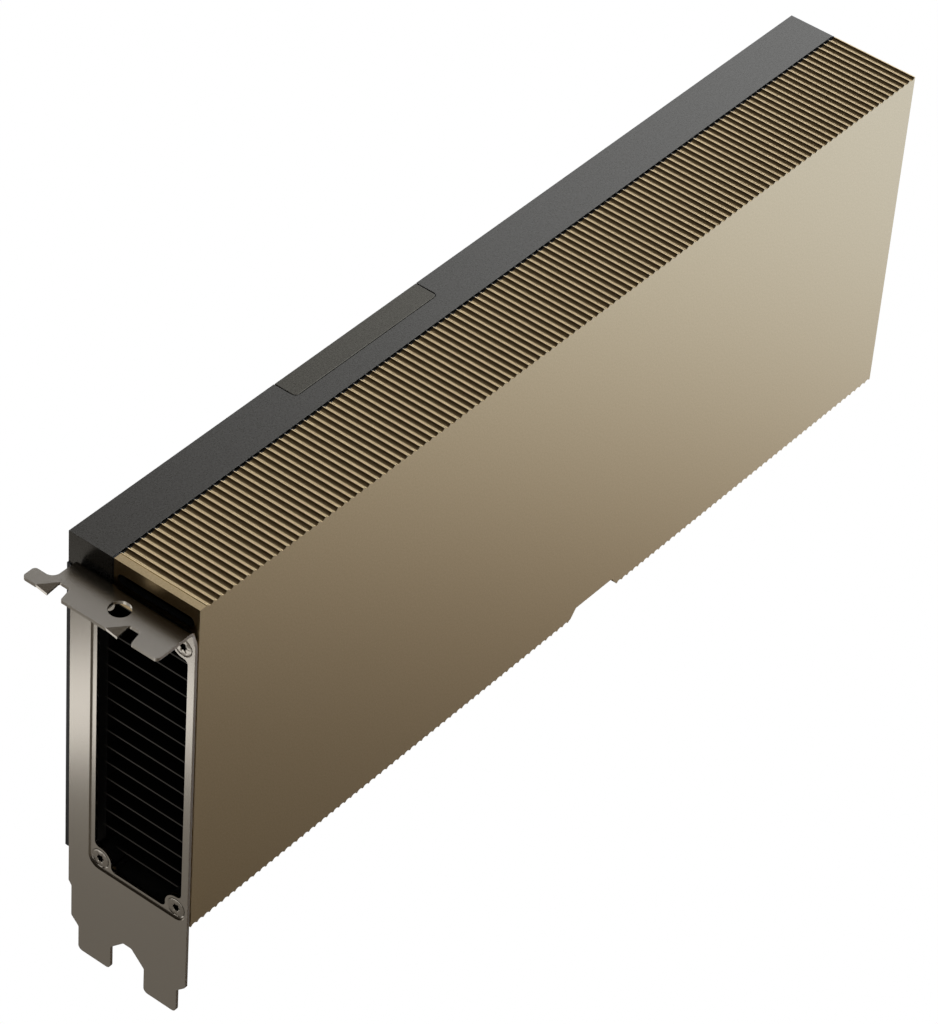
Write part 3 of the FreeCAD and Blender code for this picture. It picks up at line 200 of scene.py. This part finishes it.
world = bpy.data.worlds.new("studio")
bpy.context.scene.world = world
world.use_nodes = True
world.node_tree.nodes.clear()
room_ray = add(world, "ShaderNodeLightPath").outputs
room_direction = add(world, "ShaderNodeTexCoord").outputs["Generated"]
room_across = add(world, "ShaderNodeVectorMath", {0: room_direction, 1: WALL_EDGE_AXIS},
                  operation="DOT_PRODUCT")
room_edge = add(world, "ShaderNodeMapRange", {"Value": room_across.outputs["Value"],
                                              "From Min": WALL_EDGE_START, "From Max": WALL_EDGE_END},
                interpolation_type="SMOOTHSTEP")
room_sides = add(world, "ShaderNodeSeparateXYZ", {"Vector": room_direction}).outputs
room_overhead = add(world, "ShaderNodeMapRange", {"Value": room_sides["X"],
                                                  "From Min": DARK_LEFT_END,
                                                  "From Max": DARK_RIGHT_END})
room_dark = add(world, "ShaderNodeMix", {0: room_overhead.outputs[0], 6: DARK_LEFT, 7: DARK_RIGHT},
                data_type="RGBA")
room_mirrored = add(world, "ShaderNodeMix", {0: room_edge.outputs[0], 6: room_dark.outputs[2],
                                             7: BRIGHT_WALL}, data_type="RGBA")
room_tone = add(world, "ShaderNodeMix", {0: room_ray["Is Glossy Ray"], 6: SOFT_LIGHT,
                                         7: room_mirrored.outputs[2]}, data_type="RGBA")
room_seen = add(world, "ShaderNodeMix", {0: room_ray["Is Camera Ray"], 6: room_tone.outputs[2],
                                         7: WHITE}, data_type="RGBA")
room = add(world, "ShaderNodeBackground", {"Color": room_seen.outputs[2], "Strength": 1.0})
add(world, "ShaderNodeOutputWorld", {"Surface": room.outputs[0]})
world.cycles.sampling_method = "NONE"

# Bounce card: a narrow strip of light low on the left, near the bracket. It shows in the nickel as a
# bright band below the tab, which fades downwards. A brightness of 1 mirrors as white.
CARD_FACES = Vector((-59, -5, 70)) * MM
CARD_DIRECTION = Vector((-0.53, 0.485, -0.70))
CARD_DISTANCE = 0.15
CARD_WIDTH = 0.40
CARD_HEIGHT = 0.026
CARD_BRIGHTNESS = 1.3

card_light = bpy.data.lights.new("bounce_card", "AREA")
card_light.shape = "RECTANGLE"
card_light.size = CARD_WIDTH
card_light.size_y = CARD_HEIGHT
card_light.energy = CARD_BRIGHTNESS * math.pi * CARD_WIDTH * CARD_HEIGHT
card_lamp = bpy.data.objects.new("bounce_card", card_light)
card_lamp.location = CARD_FACES + CARD_DIRECTION * CARD_DISTANCE
card_lamp.rotation_euler = (-CARD_DIRECTION).to_track_quat("-Z", "Y").to_euler()
card_lamp.visible_camera = False
bpy.context.scene.collection.objects.link(card_lamp)


# Circuit board: woven glass and epoxy, milled round its edge, with the contact tongue and the retention
# hook below and the bridge tongue on top. Its solder mask is a smooth enamel, black with a green cast.
def surface_material(name, dark, light, grain_mm, metallic, roughness, bump=0.05, spread=0.06):
    """A finish whose tone and roughness wander between two near colours in spots of grain_mm. The tone
    takes the middle part of the noise, so that most of the surface lies between the two colours, and
    the relief is as deep as a share of the spots' width."""
    noise_low, noise_high, relief_share = 0.30, 0.70, 0.3
    material = new_material(name)
    grain = grain_noise(material, grain_mm)
    tone = add(material, "ShaderNodeValToRGB", {"Fac": grain})
    for stop, place, colour in zip(tone.color_ramp.elements, (noise_low, noise_high), (dark, light)):
        stop.position = place
        stop.color = srgb(colour)
    sheen = add(material, "ShaderNodeMapRange", {"Value": grain, "To Min": roughness - spread,
                                                 "To Max": roughness + spread})
    relief = add(material, "ShaderNodeBump", {"Height": grain, "Strength": bump,
                                              "Distance": grain_mm * MM * relief_share})
    shader = add(material, "ShaderNodeBsdfPrincipled",
                 {"Base Color": tone.outputs["Color"], "Metallic": metallic,
                  "Roughness": sheen.outputs[0], "Normal": relief.outputs[0]})
    add(material, "ShaderNodeOutputMaterial", {"Surface": shader.outputs[0]})
    return material


def dress(node, material):
    """Gives a CAD node its finish."""
    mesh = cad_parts[node].data
    mesh.materials.clear()
    mesh.materials.append(material)


dress("circuit_board", surface_material("solder_mask", "0b120e", "131c16", grain_mm=0.6, metallic=0.0,
                                        roughness=0.42))

# Contacts: hard gold over nickel on copper, plated flush on both faces of the tongues. The plating is
# smooth, so it shines deeper than the board round it.
hard_gold = surface_material("hard_gold_plate", "c89b45", "e0b860", grain_mm=0.4, metallic=1.0,
                             roughness=0.25, bump=0.03)
dress("edge_contacts", hard_gold)
dress("bridge_contacts", hard_gold)

# Processor package: green laminate substrate, a bare ground silicon die between two columns of memory
# stacks, a steel stiffener round the edge and grey paste on top. The silicon is glassy, the paste dull.
dress("processor_substrate", surface_material("package_laminate", "173d24", "1f4d2e", grain_mm=0.5,
                                              metallic=0.0, roughness=0.45))
silicon = surface_material("ground_silicon", "3a3d44", "4a4e56", grain_mm=0.3, metallic=0.4,
                           roughness=0.18, bump=0.02)
dress("processor_die", silicon)
dress("memory_stacks", silicon)
dress("package_stiffener", surface_material("stamped_steel", "a9a7a2", "c2c0ba", grain_mm=0.3,
                                            metallic=1.0, roughness=0.35))
dress("thermal_paste", surface_material("zinc_oxide_paste", "8b8d8f", "a3a5a7", grain_mm=0.8,
                                        metallic=0.0, roughness=0.6, bump=0.3))

# Voltage regulator: ferrite inductors, moulded power stages, capacitors and controllers soldered in
# rows, with soft grey silicone pads that carry their heat into the base. All of it is matt.
dress("inductors", surface_material("pressed_ferrite", "222224", "323235", grain_mm=0.4, metallic=0.0,
                                    roughness=0.7, bump=0.2))
silicone = surface_material("silicone_pad", "7f8a99", "95a0ae", grain_mm=0.6, metallic=0.0,
                            roughness=0.8, bump=0.2)
dress("inductor_pads", silicone)
dress("power_stage_pads", silicone)
epoxy = surface_material("moulded_epoxy", "101012", "1b1b1d", grain_mm=0.4, metallic=0.0,
                         roughness=0.55, bump=0.15)
dress("power_stages", epoxy)
dress("controller_chips", epoxy)
dress("polymer_capacitors", surface_material("capacitor_case", "1c1a19", "2a2725", grain_mm=0.4,
                                             metallic=0.0, roughness=0.5))
dress("ceramic_capacitors", surface_material("fired_ceramic", "8a6e4e", "a48763", grain_mm=0.3,
                                             metallic=0.0, roughness=0.4))

# Power connector: black glass-filled nylon, moulded with eight keyed chambers and a faint frosting from
# the mould, and square brass pins with a soft tin shine.
dress("power_connector_housing", surface_material("moulded_nylon", "0d0d0d", "171717", grain_mm=0.4,
                                                  metallic=0.0, roughness=0.45, bump=0.15))
dress("power_connector_pins", surface_material("tinned_brass", "b5b2aa", "cbc8c0", grain_mm=0.3,
                                               metallic=1.0, roughness=0.3))

# Insulating sheet: thin black polycarbonate film, cut flat, that keeps the backplate off the solder
# joints. Its face is slightly glossy.
dress("insulating_sheet", surface_material("black_film", "0c0c0c", "161616", grain_mm=1.0,
                                           metallic=0.0, roughness=0.25))

# Leaf spring behind the processor: a cross cut from rolled spring steel, which its screws pull down to
# clamp the package. It is greyer than the plated parts.
dress("retention_spring", surface_material("rolled_spring_steel", "8a8884", "a6a49f", grain_mm=0.3,
                                           metallic=1.0, roughness=0.35))

# Heatsink base: a milled aluminium plate with posts for the screws and legs that reach the board. Its
# black anodising takes up nearly all light inside the duct.
dress("heatsink_base", surface_material("black_anodised_aluminium", "0c0b0a", "131211", grain_mm=0.5,
                                        metallic=0.6, roughness=0.42))

# Fins: aluminium sheet sheared to size, deep in the duct, with their faces coloured near black as painted
# shade. The short ends that face the bracket are bare metal, which shows as a fine paler line on each fin.
SHEARED_END = 0.15 * MM
FIN_GRAIN_MM = 0.5
fins = new_material("fin_sheet_painted_shade")
fin_place = add(fins, "ShaderNodeTexCoord").outputs["Object"]
fin_along = add(fins, "ShaderNodeSeparateXYZ", {"Vector": fin_place}).outputs["X"]
near_end = add(fins, "ShaderNodeMath", {0: fin_along, 1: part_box("heatsink_fins")[0].x + SHEARED_END},
               operation="LESS_THAN")
# Painted shade: the fin faces get a near-black tone, and only the sheared ends stay paler.
fin_painted_shade = add(fins, "ShaderNodeMix", {0: grain_noise(fins, FIN_GRAIN_MM), 6: srgb("0e0d0c"),
                                       7: srgb("171514")}, data_type="RGBA")
fin_tone = add(fins, "ShaderNodeMix", {0: near_end.outputs[0], 6: fin_painted_shade.outputs[2],
                                       7: srgb("3c3935")}, data_type="RGBA")
fin_shader = add(fins, "ShaderNodeBsdfPrincipled",
                 {"Base Color": fin_tone.outputs[2], "Metallic": 0.8, "Roughness": 0.5})
add(fins, "ShaderNodeOutputMaterial", {"Surface": fin_shader.outputs[0]})
dress("heatsink_fins", fins)

# Shroud: one aluminium casting, fluted along its top and bottom, bead blasted and anodised a pale gold.
# It stays satin, and turns paler where it mirrors the light. Inside the duct, shade is painted in as
# black.
RIB_COUNT = 123
RIB_LAND = 0.28 * MM
FLUTE_DEPTH = 0.55 * MM
RIB_END_BEFORE_STRIP = 0.80 * MM
RIB_END_GAP = 0.15 * MM
SHADOW_LINE = 0.45 * MM
DUCT_SHADE_FROM = Vector((0.4, 1.3, 1.75)) * MM
DUCT_SHADE_TO = Vector((-1.5, 1.0, -1.85)) * MM
CAD_ROUNDING = 0.01 * MM

shroud_low, shroud_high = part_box("shroud")
strip_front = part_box("top_cover")[0].y


def read(items, field, width, kind=np.float32):
    """One field of every item in a mesh's list, as rows of the given width."""
    values = np.empty(len(items) * width, kind)
    items.foreach_get(field, values)
    return values.reshape(-1, width)


def joined_copy(*nodes):
    """The loose triangles of CAD nodes, with the corners that lie on each other made one."""
    same_point = 1e-6
    shape = bmesh.new()
    for node in nodes:
        shape.from_mesh(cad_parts[node].data)
    bmesh.ops.remove_doubles(shape, verts=shape.verts, dist=same_point)
    return shape


def finished_copy(name, nodes, bevel_mm, reshape=None):
    """A copy of CAD nodes with flat faces joined, its edges rounded by a small live bevel. Edges that
    turn by less than the crease angle are shaded round. reshape takes and gives back the points."""
    flat, crease = math.radians(0.5), math.radians(35)
    shape = joined_copy(*nodes)
    bmesh.ops.dissolve_limit(shape, angle_limit=flat, verts=shape.verts, edges=shape.edges)
    mesh = bpy.data.meshes.new(name)
    shape.to_mesh(mesh)
    shape.free()
    if reshape:
        mesh.vertices.foreach_set("co", reshape(read(mesh.vertices, "co", 3)).ravel())
        mesh.update()
    mesh.shade_smooth()
    mesh.set_sharp_from_angle(angle=crease)
    piece = bpy.data.objects.new(name, mesh)
    bpy.context.scene.collection.objects.link(piece)
    if bevel_mm:
        round_over = piece.modifiers.new("round_over", "BEVEL")
        round_over.width = bevel_mm * MM
        round_over.segments = 2
        round_over.limit_method = "ANGLE"
        round_over.angle_limit = crease
        even_normals = piece.modifiers.new("even_normals", "WEIGHTED_NORMAL")
        even_normals.keep_sharp = True
    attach(piece, "root")
    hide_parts(*nodes)
    return piece


def ribs_to_strip(points):
    """Carries the ribs' back ends on to a hair's breadth from the strip."""
    at_end = np.abs(points[:, 1] - (strip_front - RIB_END_BEFORE_STRIP)) < CAD_ROUNDING
    points[at_end, 1] = strip_front - RIB_END_GAP
    return points


def round_flutes(mesh):
    """Shades every flute as the arc that it is. With the arc's centre at (middle, level), a corner point
    p of a flute's face gets the normal (centre - p) / radius, and all other corners keep theirs. A face
    belongs to a flute where it lies between the land and the flute's floor, faces up (down on the lower
    side) and runs straight from front to back. The lower side counts its flutes from the far end."""
    straight, upward = 0.02, 0.5
    pitch = (shroud_high.x - shroud_low.x - RIB_LAND) / RIB_COUNT
    width = pitch - RIB_LAND
    radius = (width ** 2 / 4 + FLUTE_DEPTH ** 2) / (2 * FLUTE_DEPTH)
    normals = read(mesh.corner_normals, "vector", 3)
    points = read(mesh.vertices, "co", 3)[read(mesh.loops, "vertex_index", 1, np.int32)[:, 0]]
    corners = read(mesh.polygons, "loop_total", 1, np.int32)[:, 0]
    facing = np.repeat(read(mesh.polygons, "normal", 3), corners, 0)
    centre = np.repeat(read(mesh.polygons, "center", 3), corners, 0)
    for side, start, land in ((1, shroud_low.x, shroud_high.z), (-1, shroud_high.x, shroud_low.z)):
        flute_number = np.floor((centre[:, 0] - start) * side / pitch)
        middle = start + side * (flute_number * pitch + RIB_LAND + width / 2)
        level = land + side * (radius - FLUTE_DEPTH)
        depth = (land - centre[:, 2]) * side
        flute = (depth > 2 * CAD_ROUNDING) & (depth < FLUTE_DEPTH + CAD_ROUNDING)
        flute &= (np.abs(facing[:, 1]) < straight) & (facing[:, 2] * side > upward)
        normals[flute, 0] = ((middle - points[:, 0]) / radius)[flute]
        normals[flute, 1] = 0
        normals[flute, 2] = ((level - points[:, 2]) / radius)[flute]
    normals /= np.linalg.norm(normals, axis=1)[:, None]
    mesh.normals_split_custom_set(normals.tolist())


def lay_over(material, share, colour):
    """Lays another colour over a finish where share is 1, and gives back the finish's shader."""
    shader = material.node_tree.nodes["Principled BSDF"]
    under = shader.inputs["Base Color"].links[0].from_socket
    tone = add(material, "ShaderNodeMix", {0: share, 6: under, 7: srgb(colour)}, data_type="RGBA")
    material.node_tree.links.new(tone.outputs[2], shader.inputs["Base Color"])
    return shader


shroud = finished_copy("fluted_shroud", ["shroud"], 0, reshape=ribs_to_strip)
round_flutes(shroud.data)
# A blasted grain is finer than a pixel of the photo, so here and below it is drawn coarser, at 0.45 mm.
gold = surface_material("gold_anodised_aluminium", "b9a37c", "c6b089", grain_mm=0.45, metallic=1.0,
                        roughness=0.30, bump=0.015, spread=0.01)
# The painted shade fills a box inside the shroud. A point's depth in it is its least distance from any
# side.
gold_place = add(gold, "ShaderNodeTexCoord").outputs["Object"]
above_low = add(gold, "ShaderNodeVectorMath", {0: gold_place, 1: shroud_low + DUCT_SHADE_FROM},
                operation="SUBTRACT")
below_high = add(gold, "ShaderNodeVectorMath", {0: shroud_high + DUCT_SHADE_TO, 1: gold_place},
                 operation="SUBTRACT")
nearest = add(gold, "ShaderNodeVectorMath", {0: above_low.outputs[0], 1: below_high.outputs[0]},
              operation="MINIMUM")
depth_along = add(gold, "ShaderNodeSeparateXYZ", {"Vector": nearest.outputs[0]}).outputs
depth_xy = add(gold, "ShaderNodeMath", {0: depth_along["X"], 1: depth_along["Y"]}, operation="MINIMUM")
depth_in = add(gold, "ShaderNodeMath", {0: depth_xy.outputs[0], 1: depth_along["Z"]},
               operation="MINIMUM")
painted_duct_shade = add(gold, "ShaderNodeMath", {0: depth_in.outputs[0], 1: 0.0}, operation="GREATER_THAN")
# The gap between ribs and strip is too narrow to show, so its shadow is painted dark on the ribs' last
# half millimetre.
gold_sides = add(gold, "ShaderNodeSeparateXYZ", {"Vector": gold_place}).outputs
painted_rib_shadow = add(gold, "ShaderNodeMath", {0: gold_sides["Y"], 1: strip_front - RIB_END_GAP - SHADOW_LINE},
               operation="GREATER_THAN")
painted_shade_area = add(gold, "ShaderNodeMath", {0: painted_duct_shade.outputs[0], 1: painted_rib_shadow.outputs[0]},
                operation="MAXIMUM")
# Both marks above are painted shade, laid in one near-black colour over the gold, which stops being metal
# there.
gold_shader = lay_over(gold, painted_shade_area.outputs[0], "0b0b0a")
metallic_outside_shade = add(gold, "ShaderNodeMath", {0: 1.0, 1: painted_shade_area.outputs[0]}, operation="SUBTRACT")
gold.node_tree.links.new(metallic_outside_shade.outputs[0], gold_shader.inputs["Metallic"])
shroud.data.materials.append(gold)

# Black strip over the board's top edge: aluminium, finely blasted and dyed black, with a window for the
# cap. It is dark satin, and turns greyer towards the bright wall.
CAP_CORNER = 1.6 * MM
TIGHT_CORNER = 0.8 * MM
CORNER_SPREAD = 0.25 * MM
GAP_LINE = 0.16 * MM
GAP_LINE_FADE = 0.05 * MM

cap_low, cap_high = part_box("bridge_cover")
cap_points = read(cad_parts["bridge_cover"].data.vertices, "co", 3)
cap_front = float(cap_points[cap_points[:, 2] > cap_high.z - 10 * CAD_ROUNDING][:, 1].min())


def tight_corners(points):
    """Draws the two rounded front corners of the cap's outline in to half their radius: a point on the arc
    keeps its direction from the arc's centre, and the centre moves out towards the corner. Points within
    the corner spread of the arc go with it, which takes in the window's corners outside the gap."""
    for corner_x, side in ((cap_low.x, -1), (cap_high.x, 1)):
        corner, inward = np.array([corner_x, cap_front]), np.array([-side, 1.0])
        out = points[:, :2] - (corner + CAP_CORNER * inward)
        reach = np.hypot(out[:, 0], out[:, 1])
        on_arc = np.abs(reach - CAP_CORNER) < CORNER_SPREAD
        on_arc &= (out[:, 0] * side > -CAD_ROUNDING) & (out[:, 1] < CAD_ROUNDING)
        share = (reach[on_arc] - CAP_CORNER + TIGHT_CORNER) / reach[on_arc]
        points[on_arc, :2] = corner + TIGHT_CORNER * inward + out[on_arc] * share[:, None]
    return points


strip = finished_copy("black_top_strip", ["top_cover"], 0.15, reshape=tight_corners)
strip_finish = surface_material("black_strip_finish", "504e4a", "5c5a56", grain_mm=0.45, metallic=0.95,
                                roughness=0.28, bump=0.03, spread=0.03)
# The gap round the cap is too narrow to show, so its shade is painted dark along the window's edge. The
# line follows the cap's outline: its points lie one corner radius and the gap away from the rectangle of
# arc centres.
strip_place = add(strip_finish, "ShaderNodeTexCoord").outputs["Object"]
window_middle = Vector(((cap_low.x + cap_high.x) / 2, cap_front + TIGHT_CORNER, 0))
half_length = (cap_high.x - cap_low.x) / 2 - TIGHT_CORNER
from_middle = add(strip_finish, "ShaderNodeVectorMath", {0: strip_place, 1: window_middle},
                  operation="SUBTRACT")
strip_sides = add(strip_finish, "ShaderNodeSeparateXYZ", {"Vector": from_middle.outputs[0]}).outputs
along_cap = add(strip_finish, "ShaderNodeMath", {0: strip_sides["X"]}, operation="ABSOLUTE")
over_end = add(strip_finish, "ShaderNodeMath", {0: along_cap.outputs[0], 1: half_length},
               operation="SUBTRACT")
past_end = add(strip_finish, "ShaderNodeMath", {0: over_end.outputs[0], 1: 0.0}, operation="MAXIMUM")
past_front = add(strip_finish, "ShaderNodeMath", {0: strip_sides["Y"], 1: 0.0}, operation="MINIMUM")
past_outline = add(strip_finish, "ShaderNodeCombineXYZ", {"X": past_end.outputs[0],
                                                          "Y": past_front.outputs[0]})
line_reach = add(strip_finish, "ShaderNodeVectorMath", {0: past_outline.outputs[0]}, operation="LENGTH")
painted_gap_shade = add(strip_finish, "ShaderNodeMapRange",
             {"Value": line_reach.outputs["Value"],
              "From Min": TIGHT_CORNER + GAP_LINE + GAP_LINE_FADE, "From Max": TIGHT_CORNER + GAP_LINE})
lay_over(strip_finish, painted_gap_shade.outputs[0], "0b0b0b")
strip.data.materials.append(strip_finish)

# Cap over the bridge contacts: a clip-in cover that sits in the strip's window with a fine gap round it.
# It has the strip's blasted face, a touch warmer in tone.
cap = finished_copy("bridge_contact_cap", ["bridge_cover"], 0.12, reshape=tight_corners)
cap.data.materials.append(surface_material("grey_cap_finish", "4f4c45", "5b5850", grain_mm=0.45,
                                           metallic=0.95, roughness=0.28))

# Backplate: pressed aluminium sheet over the solder side, dimpled down to the board at its screws. It is
# anodised a dull black.
plate = finished_copy("black_backplate", ["backplate"], 0.2)
plate.data.materials.append(surface_material("black_backplate_finish", "171717", "212121", grain_mm=0.5,
                                             metallic=0.5, roughness=0.45, bump=0.06))

# Bracket: 0.86 mm steel sheet, pressed and folded, then nickel plated. The plating is smooth and warm,
# and its rounded edges catch the light as a fine line.
bracket = finished_copy("nickel_bracket", ["io_bracket"], 0.2)
bracket.data.materials.append(surface_material("nickel_plated_steel", "bab4ab", "c0bab0", grain_mm=0.3,
                                               metallic=1.0, roughness=0.24, bump=0.004, spread=0.01))

# Countersunk screws of the bracket and of the backplate: cold-headed steel, with a six-lobe socket punched
# in the head. Those of the bracket are nickel plated and bright, with painted shade that darkens the
# socket towards its floor, and the others are black oxide.
SCREW_SIDES = 48
LOBES = 6
LOBE_SHARE = 0.15
SOCKET_SHADE_FROM = 0.05 * MM
SOCKET_SHADE_TO = 0.30 * MM


def solid_centres(node):
    """The middle of each separate solid of a node, as rows of x, y, z. Every point starts with its own
    number and takes the lowest one that an edge joins it to, until none changes; then the points of one
    solid have one number."""
    mesh = bpy.data.meshes.new("solids")
    shape = joined_copy(node)
    shape.to_mesh(mesh)
    shape.free()
    points = read(mesh.vertices, "co", 3)
    first, second = read(mesh.edges, "vertices", 2, np.int32).T
    bpy.data.meshes.remove(mesh)
    number, before = np.arange(len(points)), None
    while before is None or (number != before).any():
        before = number.copy()
        np.minimum.at(number, first, before[second])
        np.minimum.at(number, second, before[first])
    solids = [points[number == k] for k in np.unique(number)]
    return np.array([(solid.min(0) + solid.max(0)) / 2 for solid in solids])


def socket_screws(name, node, inward, head_radius, head_height, shank_radius, socket_radius, socket_depth):
    """Turned profile (depth along the axis against radius, in mm) swept once round the axis. The rows of
    the socket, marked 1, have radius r (1 + 0.15 cos 6 a), which gives it its six lobes. inward is the
    way the screw points; the first and last rows have no radius and close the ends."""
    same_point, crease = 1e-7, math.radians(32)
    low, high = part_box(node)
    axis = int(np.argmax(np.abs(inward)))
    length = (high[axis] - low[axis]) / MM
    rows = np.array([(length, 0.0, 0),                               # tip, with a 0.25 by 0.3 chamfer
                     (length, shank_radius - 0.25, 0),
                     (length - 0.3, shank_radius, 0),
                     (head_height, shank_radius, 0),                 # cone under the head
                     (0.10, head_radius, 0),                         # head's rim, rounded over
                     (0.03, head_radius - 0.03, 0),
                     (0.0, head_radius - 0.12, 0),
                     (0.0, socket_radius * 1.12, 1),                 # socket's mouth, worn open
                     (0.06, socket_radius, 1),
                     (socket_depth, socket_radius * 0.92, 1),        # drawn in towards its floor
                     (socket_depth + 0.08, socket_radius * 0.6, 1),
                     (socket_depth + 0.1, 0.0, 0)])
    depth, radius, lobed = rows.T[:, :, None] * np.array([MM, MM, 1.0])[:, None, None]
    turn = np.linspace(0, 2 * math.pi, SCREW_SIDES, endpoint=False)[None, :]
    reach = radius * (1 + LOBE_SHARE * lobed * np.cos(LOBES * turn))
    across = [i for i in range(3) if i != axis]
    one = np.zeros(reach.shape + (3,))
    one[..., across[0]] = reach * np.cos(turn)
    one[..., across[1]] = reach * np.sin(turn)
    one[..., axis] = depth * inward[axis]
    heads = solid_centres(node)
    heads[:, axis] = low[axis] if inward[axis] > 0 else high[axis]
    points = (heads[:, None, None, :] + one[None]).reshape(-1, 3)
    row, column = np.meshgrid(np.arange(len(rows) - 1), np.arange(SCREW_SIDES), indexing="ij")
    beside = (column + 1) % SCREW_SIDES
    quads = np.stack([row * SCREW_SIDES + column, row * SCREW_SIDES + beside,
                      (row + 1) * SCREW_SIDES + beside, (row + 1) * SCREW_SIDES + column],
                     -1).reshape(-1, 4)
    first_points = np.arange(len(heads))[:, None, None] * len(rows) * SCREW_SIDES
    mesh = bpy.data.meshes.new(name)
    mesh.from_pydata(points.tolist(), [], (quads[None] + first_points).reshape(-1, 4).tolist())
    shape = bmesh.new()
    shape.from_mesh(mesh)
    bmesh.ops.remove_doubles(shape, verts=shape.verts, dist=same_point)
    bmesh.ops.recalc_face_normals(shape, faces=shape.faces)
    shape.to_mesh(mesh)
    shape.free()
    mesh.shade_smooth()
    mesh.set_sharp_from_angle(angle=crease)
    piece = bpy.data.objects.new(name, mesh)
    bpy.context.scene.collection.objects.link(piece)
    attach(piece, "root")
    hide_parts(node)
    return piece


screw_nickel = surface_material("nickel_plated_screws", "a7a198", "b3ada3", grain_mm=0.3, metallic=1.0,
                                roughness=0.22, bump=0.01, spread=0.02)
# Painted shade: the socket darkens from just under the head's face to near black a little deeper in.
screw_place = add(screw_nickel, "ShaderNodeTexCoord").outputs["Object"]
screw_along = add(screw_nickel, "ShaderNodeSeparateXYZ", {"Vector": screw_place}).outputs["X"]
head_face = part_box("bracket_screws")[0].x
painted_socket_shade = add(screw_nickel, "ShaderNodeMapRange", {"Value": screw_along,
                                                     "From Min": head_face + SOCKET_SHADE_FROM,
                                                     "From Max": head_face + SOCKET_SHADE_TO})
lay_over(screw_nickel, painted_socket_shade.outputs[0], "1c1a18")
bracket_screws = socket_screws("bracket_socket_screws", "bracket_screws", (1, 0, 0), head_radius=2.4,
                               head_height=0.8, shank_radius=1.25, socket_radius=0.92,
                               socket_depth=0.7)
bracket_screws.data.materials.append(screw_nickel)

screw_black = surface_material("black_oxide_screws", "1a1a1a", "262626", grain_mm=0.3, metallic=0.8,
                               roughness=0.35, bump=0.03)
back_screws = socket_screws("backplate_socket_screws", "backplate_screws", (0, -1, 0), head_radius=2.0,
                            head_height=0.9, shank_radius=1.0, socket_radius=0.8, socket_depth=0.6)
back_screws.data.materials.append(screw_black)

# Cap screws of the leaf spring and of the shroud's flanges: low round heads on turned steel, the first
# nickel plated to a soft shine, the others black oxide.
dress("hold_down_screws", surface_material("nickel_plated_cap_screws", "a7a198", "b3ada3", grain_mm=0.3,
                                           metallic=1.0, roughness=0.22, bump=0.01))
dress("shroud_screws", screw_black)
